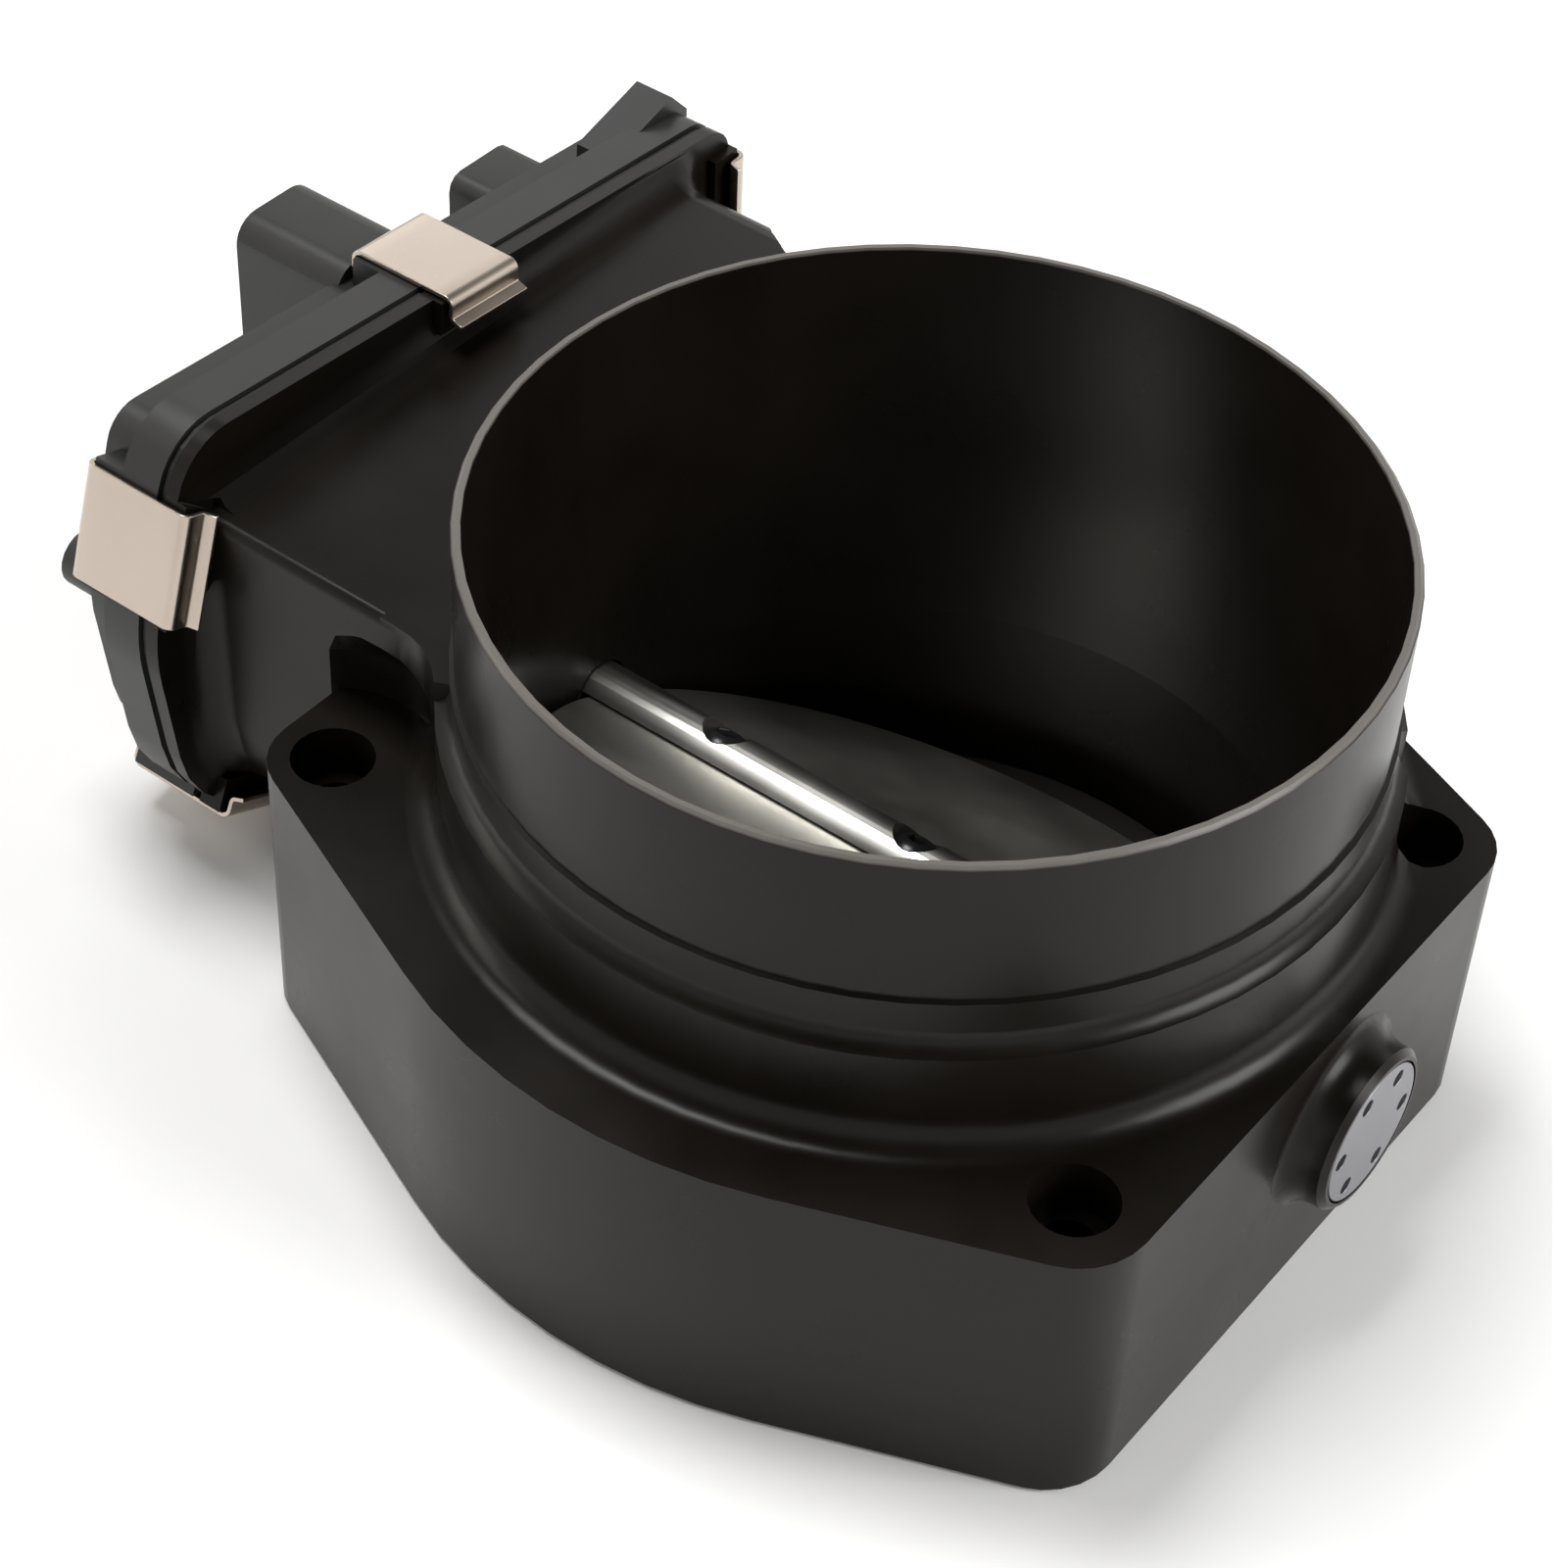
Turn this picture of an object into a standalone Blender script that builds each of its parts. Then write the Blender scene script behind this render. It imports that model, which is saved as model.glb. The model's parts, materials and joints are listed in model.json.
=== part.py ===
"""Electronic throttle body, modelled as the loose pieces it comes apart into.

Frame: the origin is the centre of the bore on the manifold face.  +Z runs up the
bore towards the air inlet, +X runs along the throttle shaft from the gear case
to the plain bearing end.  Lengths are in millimetres until `mm` turns them into
Blender's metres.
"""
from math import acos, atan2, ceil, cos, degrees, hypot, pi, radians, sin

import bmesh
import bpy
from mathutils import Matrix, Vector

# ---------------------------------------------------------------- driving sizes
MM = 0.001
GAP = 0.3                      # clearance left between two touching pieces

# inlet collar and bore
INLET_TOP_Z = 82.5
INLET_R = 57.15                # 4.5 inch coupler size
LIP_WALL = 1.2
BORE_R = 51.0
BORE_TAPER_END_Z = 25.5
STEP_Z = 61.9
STEP_R = 57.7
LEDGE_Z = 54.85
LEDGE_R = 59.6
BAND_FILLET = 2.6
FOOT_FILLET = 4.2
COLLAR_SIDES = 64

# flange block: bolt centres and the ears around them
FLANGE_T = 41.0
BOLT_X_LEFT = -58.4
BOLT_X_RIGHT = 54.0
BOLT_Y_FRONT = -43.4
BOLT_Y_BACK = 32.6
FRONT_BULGE_R = 70.7
BACK_BULGE_R = 60.0
RIGHT_FACE_X = 63.7
LEFT_FACE_X = -66.6
BOLT_HEAD_R = 5.4
BOLT_HEAD_DEPTH = 7.5
BOLT_HOLE_R = 3.4
POCKET_R = 13.0
POCKET_TOP_Z = 53.5
POCKET_ROUND = 6.0             # the end mill's nose radius

# throttle shaft and plate
SHAFT_Z = 25.5
SHAFT_R = 5.0
SHAFT_BORE_R = 5.4
SHAFT_LEFT_X = -90.6
SHAFT_RIGHT_X = 64.6
PLATE_R = 50.7
PLATE_T = 2.0
SLOT_T = 2.6
PLATE_REST_DEG = 28.5          # the plate's tilt as it stands on the bench
PLATE_SCREW_X = (-31.0, 0.0, 31.0)

# plain end: boss, bearing, seal and end cap
BOSS_R = 11.1
BOSS_X = 69.4
BOSS_FLARE = 4.0
CAP_R = 9.5
CAP_T = 2.2
CAP_HOLE_RING_R = 7.35
CAP_HOLE_R = 1.15
CAP_HOLE_TURN_DEG = -7.0

# gear case
SEAM_X = -92.0
GASKET_T = 1.0
COVER_BACK_X = SEAM_X - GASKET_T - 0.3
RIM_BACK_X = -89.9
RIM_FLOOR_X = -91.6
PAD_BACK_X = -88.4
COVE_R = 5.0
CASE_WALL = 2.4
CAVITY_FLOOR_X = -76.5
NECK_TOP_Z = 58.0
NECK_FRONT_Y = -34.0
NECK_END_X = -34.0
COVER_RIM_X = -99.5
CLIP_PAD_X = -104.2
COVER_CROWN_X = -106.5
COVER_WALL = 2.0
CROWN_INSET = 4.2

# gear train (module 1): teeth and the line the gears sit on
MODULE = 1.0
SECTOR_TEETH = 42
IDLER_PINION_TEETH = 12
IDLER_TEETH = 45
MOTOR_PINION_TEETH = 12
IDLER_DIRECTION_DEG = 25.0
MOTOR_DIRECTION_DEG = -15.0
OPEN_TRAVEL_DEG = 57.5
SHUT_TRAVEL_DEG = 27.0
SECTOR_MARGIN_DEG = 5.0

IDLER_REACH = MODULE * (SECTOR_TEETH + IDLER_PINION_TEETH) / 2
MOTOR_REACH = MODULE * (IDLER_TEETH + MOTOR_PINION_TEETH) / 2
IDLER_Y = IDLER_REACH * cos(radians(IDLER_DIRECTION_DEG))
IDLER_Z = SHAFT_Z + IDLER_REACH * sin(radians(IDLER_DIRECTION_DEG))
MOTOR_Y = IDLER_Y + MOTOR_REACH * cos(radians(MOTOR_DIRECTION_DEG))
MOTOR_Z = IDLER_Z + MOTOR_REACH * sin(radians(MOTOR_DIRECTION_DEG))
MOTOR_R = 11.5
MOTOR_FRONT_X = -77.0
MOTOR_BACK_X = -48.0
BARREL_WALL = 2.6
MOTOR_SCREW_OFFSET = 14.6
MOTOR_SCREW_R = 1.5
MOTOR_SCREW_HOLE_R = 1.75
MOTOR_SCREW_REACH = 6.0

# outlines as rings of circles joined by their outer tangents: (u, v, radius)
FLANGE_RING = (
    (RIGHT_FACE_X - 10.0, -43.5, 10.0),
    (RIGHT_FACE_X - 8.5, BOLT_Y_BACK, 8.5),
    (0.0, 0.0, BACK_BULGE_R),
    (LEFT_FACE_X + 8.4, BOLT_Y_BACK, 8.4),
    (LEFT_FACE_X + 8.4, BOLT_Y_FRONT, 8.4),
    (0.0, 0.0, FRONT_BULGE_R),
)
CASE_RING = (
    (-20.0, 22.4, 20.5),
    (55.5, 22.4, 20.5),
    (70.5, 56.8, 5.0),
    (-27.5, 58.5, 9.5),
    (-14.0, 38.0, 28.5),
)
NECK_RING = (
    (-12.0, 24.4, 22.0),
    (40.0, 27.4, 25.0),
    (61.0, 53.0, 5.0),
    (-32.5, 56.5, 1.5),
)

# the neck's +Y wall seen from above: a rounded bump, then a flare into the collar
NECK_RELIEF = (
    (-78.0, 68.5), (-75.2, 65.8), (-71.8, 62.4), (-68.0, 60.0), (-60.0, 55.8),
    (-50.0, 51.0), (NECK_END_X, 46.0), (NECK_END_X, 90.0), (-78.0, 90.0),
)

# spring clips: where each one sits on the case outline (y, z), the way it faces
# in degrees from +Y towards +Z, and its width
CLIPS = {
    "clip_front": (-39.37, 52.4, 162.7, 16.5),
    "clip_top": (19.3, 65.06, 86.4, 13.5),
    "clip_back": (75.66, 50.0, 0.84, 14.0),
    "clip_bottom_front": (-28.66, 3.82, 245.0, 14.0),
    "clip_bottom_back": (69.22, 7.17, -48.0, 14.0),
}
CLIP_T = 0.7
CLIP_LIFT = 0.2

# small running parts
SEAL_R = 8.0
SEAL_LEFT_X = (-67.0, -63.5)
SEAL_RIGHT_X = (53.0, 56.2)
BEARING_R = 11.0
BEARING_LEFT_X = (-76.0, -68.0)
RACE_T = 2.0
NEEDLE_R = 7.0
NEEDLE_X = (57.0, 65.0)
IDLER_PIN_R = 2.0
IDLER_PIN_X = (-98.5, -70.0)
GROOVE_R = (54.2, 57.6)
GROOVE_DEPTH = 2.6
SCREW_HEAD_R = 3.3
SCREW_R = 1.8
SCREW_SEAT = 2.3
SCREW_HEAD_T = 1.9
SECTOR_X = (-90.4, -84.6)
IDLER_PINION_X = (-91.0, -84.0)
IDLER_X = (-97.0, -92.0)
MOTOR_PINION_X = (-97.6, -91.4)
TOOTH_SHARE = 0.54
ADDENDUM = 0.85
DEDENDUM = 1.15

# connector on the cover
PLUG_Y = (9.5, 24.5)
PLUG_Z = (27.0, 63.5)
PLUG_X = -124.0
PLUG_WALL = 1.8
PIN_COUNT = 6

# material looks: colour, roughness, metallic
FINISHES = {
    "anodised_black": ((0.018, 0.015, 0.013), 0.38, 0.6),
    "machined_aluminium": ((0.72, 0.72, 0.73), 0.25, 1.0),
    "shaft_steel": ((0.62, 0.61, 0.60), 0.28, 1.0),
    "plate_alloy": ((0.30, 0.29, 0.27), 0.42, 1.0),
    "screw_black": ((0.04, 0.04, 0.04), 0.40, 0.9),
    "cover_plastic": ((0.035, 0.036, 0.037), 0.50, 0.0),
    "spring_steel_clip": ((0.78, 0.70, 0.62), 0.22, 1.0),
    "seal_rubber": ((0.012, 0.012, 0.012), 0.70, 0.0),
    "gear_nylon": ((0.75, 0.73, 0.66), 0.55, 0.0),
    "brass": ((0.78, 0.60, 0.28), 0.30, 1.0),
    "board_green": ((0.02, 0.16, 0.07), 0.45, 0.0),
}


# ---------------------------------------------------------------- scene helpers
def clear_scene():
    """Remove every object so the file can be run again."""
    for old in list(bpy.data.objects):
        bpy.data.objects.remove(old, do_unlink=True)


def collection(name):
    """A collection linked under the scene."""
    made = bpy.data.collections.new(name)
    bpy.context.scene.collection.children.link(made)
    return made


def finish(name):
    """The Principled material for one of the FINISHES."""
    found = bpy.data.materials.get(name)
    if found:
        return found
    colour, roughness, metallic = FINISHES[name]
    made = bpy.data.materials.new(name)
    made.use_nodes = True
    shader = made.node_tree.nodes["Principled BSDF"]
    shader.inputs["Base Color"].default_value = (*colour, 1.0)
    shader.inputs["Roughness"].default_value = roughness
    shader.inputs["Metallic"].default_value = metallic
    return made


def new_object(name, mesh, look=None, cutter=False):
    """Put a mesh in the parts or cutters collection, shaded smooth by angle."""
    made = bpy.data.objects.new(name, mesh)
    if cutter:
        CUTTERS.objects.link(made)
        made.hide_render = True
        made.display_type = 'WIRE'
    else:
        PARTS.objects.link(made)
        mesh.materials.append(finish(look))
    mesh.shade_smooth()
    mesh.set_sharp_from_angle(angle=radians(32))
    return made


def mesh_from(bm, name):
    """Turn a bmesh into a mesh with its faces pointing out."""
    bmesh.ops.recalc_face_normals(bm, faces=bm.faces)
    mesh = bpy.data.meshes.new(name)
    bm.to_mesh(mesh)
    bm.free()
    return mesh


def boolean(target, tool, operation='DIFFERENCE', solver='EXACT'):
    """Add a Boolean modifier; MANIFOLD only where EXACT leaves an open edge."""
    modifier = target.modifiers.new(operation.title(), 'BOOLEAN')
    modifier.operation = operation
    modifier.solver = solver
    modifier.object = tool
    return modifier


# Turning matrices: local Z becomes the named world axis.
ALONG = {
    'X': Matrix(((0, 0, 1), (1, 0, 0), (0, 1, 0))),
    'Y': Matrix(((0, 1, 0), (0, 0, 1), (1, 0, 0))),
    'Z': Matrix.Identity(3),
}


def bake(mesh, axis, at):
    """Turn a mesh so its Z lies along `axis`, then move its origin to `at` (mm)."""
    mesh.transform(Matrix.Translation(Vector(at) * MM) @ ALONG[axis].to_4x4())
    return mesh


# ---------------------------------------------------------------- outlines
def arc(centre_u, centre_v, radius, start, end, step_deg):
    """Points on an arc, both ends included; angles in radians."""
    count = max(1, ceil(abs(degrees(end - start)) / step_deg))
    angles = [start + (end - start) * index / count for index in range(count + 1)]
    return [(centre_u + radius * cos(a), centre_v + radius * sin(a)) for a in angles]


def tangent_ring(circles, step_deg=15.0, big_step_deg=6.0):
    """Outline round an anticlockwise ring of circles, joined by outer tangents.

    The normal of the tangent from one circle to the next satisfies
    distance * cos(normal - heading) = first radius - next radius.
    """
    normals = []
    for (u0, v0, r0), (u1, v1, r1) in zip(circles, circles[1:] + circles[:1]):
        reach = hypot(u1 - u0, v1 - v0)
        heading = atan2(v1 - v0, u1 - u0)
        normals.append(heading - acos((r0 - r1) / reach))
    points = []
    for index, (u, v, radius) in enumerate(circles):
        start = normals[index - 1]
        sweep = (normals[index] - start) % (2 * pi)
        step = big_step_deg if radius > 25 else step_deg
        points += arc(u, v, radius, start, start + sweep, step)
    return points


def inset_ring(circles, inset, least_r=0.6):
    """The same ring of circles drawn `inset` further in.

    A corner too tight to shrink keeps `least_r`, and its centre steps in on both axes.
    """
    middle_u = sum(u for u, _, _ in circles) / len(circles)
    middle_v = sum(v for _, v, _ in circles) / len(circles)
    moved = []
    for u, v, radius in circles:
        short = max(0.0, least_r - (radius - inset))
        u += short if u < middle_u else -short
        v += short if v < middle_v else -short
        moved.append((u, v, radius - inset + short))
    return tuple(moved)


def gear_outline(teeth, root_r, tip_r, tooth_share, turn):
    """Straight-flanked gear teeth: root, flank, tip, flank round the pitch circle."""
    pitch = 2 * pi / teeth
    points = []
    for tooth in range(teeth):
        middle = turn + tooth * pitch
        for share, radius in ((-0.62, root_r), (-0.26, tip_r), (0.26, tip_r), (0.62, root_r)):
            angle = middle + share * tooth_share * pitch
            points.append((radius * cos(angle), radius * sin(angle)))
    return points


# ---------------------------------------------------------------- solid makers
def prism(name, outline, axis, low, high, look=None, cutter=False, shift=(0.0, 0.0)):
    """Extrude a flat outline along an axis: a filled 2D curve with an extrude."""
    curve = bpy.data.curves.new(name, 'CURVE')
    curve.dimensions = '2D'
    curve.fill_mode = 'BOTH'
    curve.extrude = (high - low) / 2 * MM
    spline = curve.splines.new('POLY')
    spline.points.add(len(outline) - 1)
    for point, (u, v) in zip(spline.points, outline):
        point.co = ((u + shift[0]) * MM, (v + shift[1]) * MM, 0.0, 1.0)
    spline.use_cyclic_u = True
    return made_mesh(name, curve, axis, (low + high) / 2, look, cutter)


def made_mesh(name, curve, axis, middle, look, cutter):
    """Turn a curve into a welded mesh that lies along an axis."""
    guide = bpy.data.objects.new(name + "_curve", curve)
    bpy.context.scene.collection.objects.link(guide)
    depsgraph = bpy.context.evaluated_depsgraph_get()
    mesh = bpy.data.meshes.new_from_object(guide.evaluated_get(depsgraph))
    bpy.data.objects.remove(guide, do_unlink=True)
    bm = bmesh.new()
    bm.from_mesh(mesh)
    bmesh.ops.remove_doubles(bm, verts=bm.verts, dist=1e-6)
    bpy.data.meshes.remove(mesh)
    welded = mesh_from(bm, name)
    offset = {'X': (middle, 0, 0), 'Y': (0, middle, 0), 'Z': (0, 0, middle)}[axis]
    return new_object(name, bake(welded, axis, offset), look, cutter)


def turned(name, profile, axis, at, look=None, cutter=False, sides=40, closed=True):
    """Turn a profile of (radius, height) points about an axis through `at`."""
    bm = bmesh.new()
    verts = [bm.verts.new((radius * MM, 0.0, height * MM)) for radius, height in profile]
    pairs = list(zip(verts, verts[1:]))
    if closed:
        pairs.append((verts[-1], verts[0]))
    edges = [bm.edges.new(pair) for pair in pairs]
    bmesh.ops.spin(bm, geom=verts + edges, axis=(0, 0, 1), cent=(0, 0, 0),
                   angle=2 * pi, steps=sides, use_merge=True)
    bmesh.ops.remove_doubles(bm, verts=bm.verts, dist=1e-6)
    return new_object(name, bake(mesh_from(bm, name), axis, at), look, cutter)


def rod(name, radius, axis, low, high, centre, look=None, cutter=False, sides=32):
    """A solid round bar; `centre` holds the two coordinates across its axis."""
    bm = bmesh.new()
    bmesh.ops.create_cone(bm, cap_ends=True, segments=sides, radius1=radius * MM,
                          radius2=radius * MM, depth=(high - low) * MM)
    middle = (low + high) / 2
    at = {'X': (middle, *centre), 'Y': (centre[0], middle, centre[1]),
          'Z': (*centre, middle)}[axis]
    return new_object(name, bake(mesh_from(bm, name), axis, at), look, cutter)


def tube(name, inner_r, outer_r, axis, low, high, centre, look, sides=32):
    """A plain ring: bush, bearing race or seal body."""
    at = {'X': (0, *centre), 'Z': (*centre, 0)}[axis]
    profile = [(outer_r, high), (outer_r, low), (inner_r, low), (inner_r, high)]
    return turned(name, profile, axis, at, look, sides=sides)


def block(name, low, high, look=None, cutter=False):
    """A box between two corners."""
    bm = bmesh.new()
    bmesh.ops.create_cube(bm, size=1.0)
    size = [b - a for a, b in zip(low, high)]
    centre = [(a + b) / 2 for a, b in zip(low, high)]
    bmesh.ops.scale(bm, vec=Vector(size) * MM, verts=bm.verts)
    bmesh.ops.translate(bm, vec=Vector(centre) * MM, verts=bm.verts)
    return new_object(name, mesh_from(bm, name), look, cutter)


def lofted(name, sections):
    """A cutter skinned over (x, outline) sections that have equal point counts."""
    bm = bmesh.new()
    rings = [[bm.verts.new((x * MM, y * MM, z * MM)) for y, z in outline]
             for x, outline in sections]
    for ring, following in zip(rings, rings[1:]):
        for index, vert in enumerate(ring):
            after = (index + 1) % len(ring)
            bm.faces.new((vert, ring[after], following[after], following[index]))
    bm.faces.new(rings[0])
    bm.faces.new(rings[-1][::-1])
    return new_object(name, mesh_from(bm, name), cutter=True)


def hang_on(piece, pivot):
    """Parent a piece to its pivot and keep it where it is."""
    piece.parent = pivot
    piece.matrix_parent_inverse = Matrix.Translation(-pivot.location)


def pivot_at(name, y, z):
    """An empty on a joint's axis."""
    made = bpy.data.objects.new(name, None)
    made.empty_display_size = 0.01
    made.location = Vector((0.0, y, z)) * MM
    PARTS.objects.link(made)
    return made


# ---------------------------------------------------------------- housing
def collar_clearance():
    """Everything a lathe takes away above the flange, leaving the stepped collar."""
    fillet = arc(LEDGE_R - 2.0 + BAND_FILLET, LEDGE_Z + BAND_FILLET, BAND_FILLET,
                 pi, 1.36 * pi, 32)
    foot = arc(LEDGE_R + FOOT_FILLET, FLANGE_T + FOOT_FILLET, FOOT_FILLET, pi, 1.5 * pi, 30)
    profile = [(INLET_R - 0.5, INLET_TOP_Z + 3), (INLET_R - 0.5, INLET_TOP_Z),
               (INLET_R, INLET_TOP_Z - 0.5), (INLET_R, STEP_Z + 0.3), (STEP_R, STEP_Z)]
    profile += fillet
    profile += [(LEDGE_R, LEDGE_Z)]
    profile += foot
    profile += [(110.0, FLANGE_T), (110.0, INLET_TOP_Z + 3)]
    return turned("collar_clearance", profile, 'Z', (0, 0, 0), cutter=True, sides=COLLAR_SIDES)


def bore_cutter():
    """The tapered air passage."""
    profile = [(0, INLET_TOP_Z + 1), (INLET_R - LIP_WALL + 0.1, INLET_TOP_Z + 1),
               (INLET_R - LIP_WALL, INLET_TOP_Z), (BORE_R, BORE_TAPER_END_Z), (BORE_R, -1), (0, -1)]
    return turned("bore_cutter", profile, 'Z', (0, 0, 0), cutter=True,
                  sides=COLLAR_SIDES, closed=False)


def boss_union():
    """The plain-end boss with its flared foot on the right face."""
    flare = arc(BOSS_R + BOSS_FLARE, BOSS_FLARE + RIGHT_FACE_X - 0.4, BOSS_FLARE,
                1.5 * pi, pi, 22.5)
    profile = [(0, BOSS_X), (BOSS_R - 0.8, BOSS_X), (BOSS_R, BOSS_X - 0.8)]
    profile += [point for point in reversed(flare) if point[1] < BOSS_X - 1.0]
    profile += [(BOSS_R + BOSS_FLARE, RIGHT_FACE_X - 4), (0, RIGHT_FACE_X - 4)]
    return turned("boss_union", profile, 'X', (0, 0, SHAFT_Z), cutter=True,
                  sides=40, closed=False)


def neck_web():
    """The concave corner a cutter leaves between the neck's front wall and the collar.

    Its circle touches the wall and the ledge ring, so its centre is POCKET_R from both.
    """
    centre_y = NECK_FRONT_Y - POCKET_R
    reach = LEDGE_R + POCKET_R
    centre_x = -(reach ** 2 - centre_y ** 2) ** 0.5
    outline = arc(centre_x, centre_y, POCKET_R, pi / 2, atan2(-centre_y, -centre_x), 10)
    outline += [(-40.0, -36.0), (-40.0, NECK_FRONT_Y + 4), (centre_x - 3, NECK_FRONT_Y + 4),
                (centre_x - 3, NECK_FRONT_Y + 0.1)]
    return prism("neck_web", outline, 'Z', FLANGE_T - 2, NECK_TOP_Z - 0.05, cutter=True)


def tool_pocket():
    """Room for a wrench on the front left bolt, cut with a round-nosed tool."""
    nose = arc(POCKET_R - POCKET_ROUND, POCKET_TOP_Z - POCKET_ROUND, POCKET_ROUND, pi / 2, 0, 30)
    profile = [(0, POCKET_TOP_Z)] + nose + [(POCKET_R, FLANGE_T - 6), (0, FLANGE_T - 6)]
    return turned("tool_pocket", profile, 'Z', (BOLT_X_LEFT, BOLT_Y_FRONT, 0), cutter=True,
                  sides=40, closed=False)


def case_cove():
    """The hollow fillet from the neck's walls up to the back of the case rim."""
    sections = []
    for turn_deg in (0, 25, 50, 75, 90):
        turn = radians(turn_deg)
        grown = inset_ring(NECK_RING, 0.05 - COVE_R * (1 - cos(turn)))
        x = RIM_BACK_X + COVE_R * (1 - sin(turn))
        sections.append((x, tangent_ring(grown, 15, 15)))
    sections.append((RIM_BACK_X - 1.0, sections[-1][1]))
    cove = lofted("case_cove", sections)
    trim = prism("cove_trim", tangent_ring(inset_ring(CASE_RING, 0.6)), 'X',
                 RIM_BACK_X - 2, RIM_BACK_X + COVE_R + 1, cutter=True)
    boolean(cove, trim, 'INTERSECT')
    for name in ("clip_front", "clip_bottom_front"):
        half = CLIPS[name][3] / 2 + 0.8
        relief = block("clip_relief", (-half, -6.0, RIM_BACK_X), (half, 1.0, RIM_BACK_X + 6),
                       cutter=True)
        relief.data.transform(clip_frame(name))
        boolean(cove, relief)
    return cove


def housing():
    """The billet body: flange block, collar, bore, gear case and motor barrel."""
    body = prism("throttle_housing", tangent_ring(FLANGE_RING), 'Z', 0.0, INLET_TOP_Z,
                 "anodised_black")
    boolean(body, collar_clearance())
    neck = prism("neck", tangent_ring(NECK_RING), 'X', RIM_BACK_X - 1.0, NECK_END_X, cutter=True)
    boolean(neck, prism("neck_relief", NECK_RELIEF, 'Z', -5.0, 90.0, cutter=True))
    boolean(neck, neck_web(), 'UNION')
    boolean(neck, tool_pocket())
    boolean(body, neck, 'UNION')
    boolean(body, case_cove(), 'UNION', 'MANIFOLD')
    rim = prism("case_rim", tangent_ring(CASE_RING), 'X', SEAM_X, RIM_BACK_X, cutter=True)
    boolean(body, rim, 'UNION', 'MANIFOLD')
    barrel = turned("motor_barrel", [(0, MOTOR_BACK_X + 6), (MOTOR_R, MOTOR_BACK_X + 6),
                                     (MOTOR_R + BARREL_WALL, MOTOR_BACK_X + 3),
                                     (MOTOR_R + BARREL_WALL, RIM_BACK_X - 2), (0, RIM_BACK_X - 2)],
                    'X', (0, MOTOR_Y, MOTOR_Z), cutter=True, closed=False)
    boolean(body, barrel, 'UNION', 'MANIFOLD')
    boolean(body, boss_union(), 'UNION', 'MANIFOLD')
    boolean(body, bore_cutter(), solver='MANIFOLD')
    for name in CLIPS:
        boolean(body, clip_pad(name, SEAM_X, PAD_BACK_X), 'UNION', 'MANIFOLD')
    for cutter in housing_cutters():
        boolean(body, cutter, solver='MANIFOLD')


def housing_cutters():
    """Bolt holes, shaft bores, gear cavity, motor bay and seal groove."""
    made = []
    for x in (BOLT_X_LEFT, BOLT_X_RIGHT):
        for y in (BOLT_Y_FRONT, BOLT_Y_BACK):
            top = NECK_TOP_Z + 2
            seat = FLANGE_T - BOLT_HEAD_DEPTH
            profile = [(0, top), (BOLT_HEAD_R, top), (BOLT_HEAD_R, seat),
                       (BOLT_HOLE_R, seat), (BOLT_HOLE_R, -1), (0, -1)]
            made.append(turned("bolt_hole", profile, 'Z', (x, y, 0), cutter=True,
                               sides=24, closed=False))
    left = [(0, -47.0), (SHAFT_BORE_R, -47.0), (SHAFT_BORE_R, SEAL_LEFT_X[1] + GAP),
            (SEAL_R + GAP, SEAL_LEFT_X[1] + GAP), (SEAL_R + GAP, BEARING_LEFT_X[1] + GAP),
            (BEARING_R + GAP, BEARING_LEFT_X[1] + GAP), (BEARING_R + GAP, -78.0), (0, -78.0)]
    made.append(turned("shaft_bore_left", left, 'X', (0, 0, SHAFT_Z), cutter=True, closed=False))
    right = [(0, BOSS_X + 1), (CAP_R + GAP, BOSS_X + 1), (CAP_R + GAP, BOSS_X - CAP_T - GAP),
             (NEEDLE_R + GAP, BOSS_X - CAP_T - GAP), (NEEDLE_R + GAP, NEEDLE_X[0] - GAP),
             (SEAL_R + GAP, NEEDLE_X[0] - GAP), (SEAL_R + GAP, SEAL_RIGHT_X[0] - GAP),
             (SHAFT_BORE_R, SEAL_RIGHT_X[0] - GAP), (SHAFT_BORE_R, 47.0), (0, 47.0)]
    made.append(turned("shaft_bore_right", right, 'X', (0, 0, SHAFT_Z), cutter=True, closed=False))
    made.append(prism("rim_cavity", tangent_ring(inset_ring(CASE_RING, CASE_WALL)), 'X',
                      SEAM_X - 1, RIM_FLOOR_X, cutter=True))
    made.append(prism("gear_cavity", tangent_ring(inset_ring(NECK_RING, CASE_WALL)), 'X',
                      SEAM_X - 1, CAVITY_FLOOR_X, cutter=True))
    made.append(rod("motor_bay", MOTOR_R + GAP, 'X', SEAM_X - 1, MOTOR_BACK_X + 1,
                    (MOTOR_Y, MOTOR_Z), cutter=True))
    for side in (-1, 1):
        made.append(rod("motor_screw_socket", MOTOR_SCREW_HOLE_R, 'X', CAVITY_FLOOR_X - 1,
                        CAVITY_FLOOR_X + MOTOR_SCREW_REACH,
                        (MOTOR_Y, MOTOR_Z + side * MOTOR_SCREW_OFFSET), cutter=True, sides=16))
    made.append(rod("idler_pin_hole", IDLER_PIN_R + 0.1, 'X', CAVITY_FLOOR_X - 1,
                    IDLER_PIN_X[1] + GAP, (IDLER_Y, IDLER_Z), cutter=True, sides=20))
    made.append(tube_cutter("o_ring_groove", GROOVE_R[0], GROOVE_R[1], 'Z', -1, GROOVE_DEPTH))
    return made


def tube_cutter(name, inner_r, outer_r, axis, low, high):
    """A ring-shaped cutter on the bore axis."""
    profile = [(outer_r, high), (outer_r, low), (inner_r, low), (inner_r, high)]
    return turned(name, profile, axis, (0, 0, 0), cutter=True, sides=COLLAR_SIDES)


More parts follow.
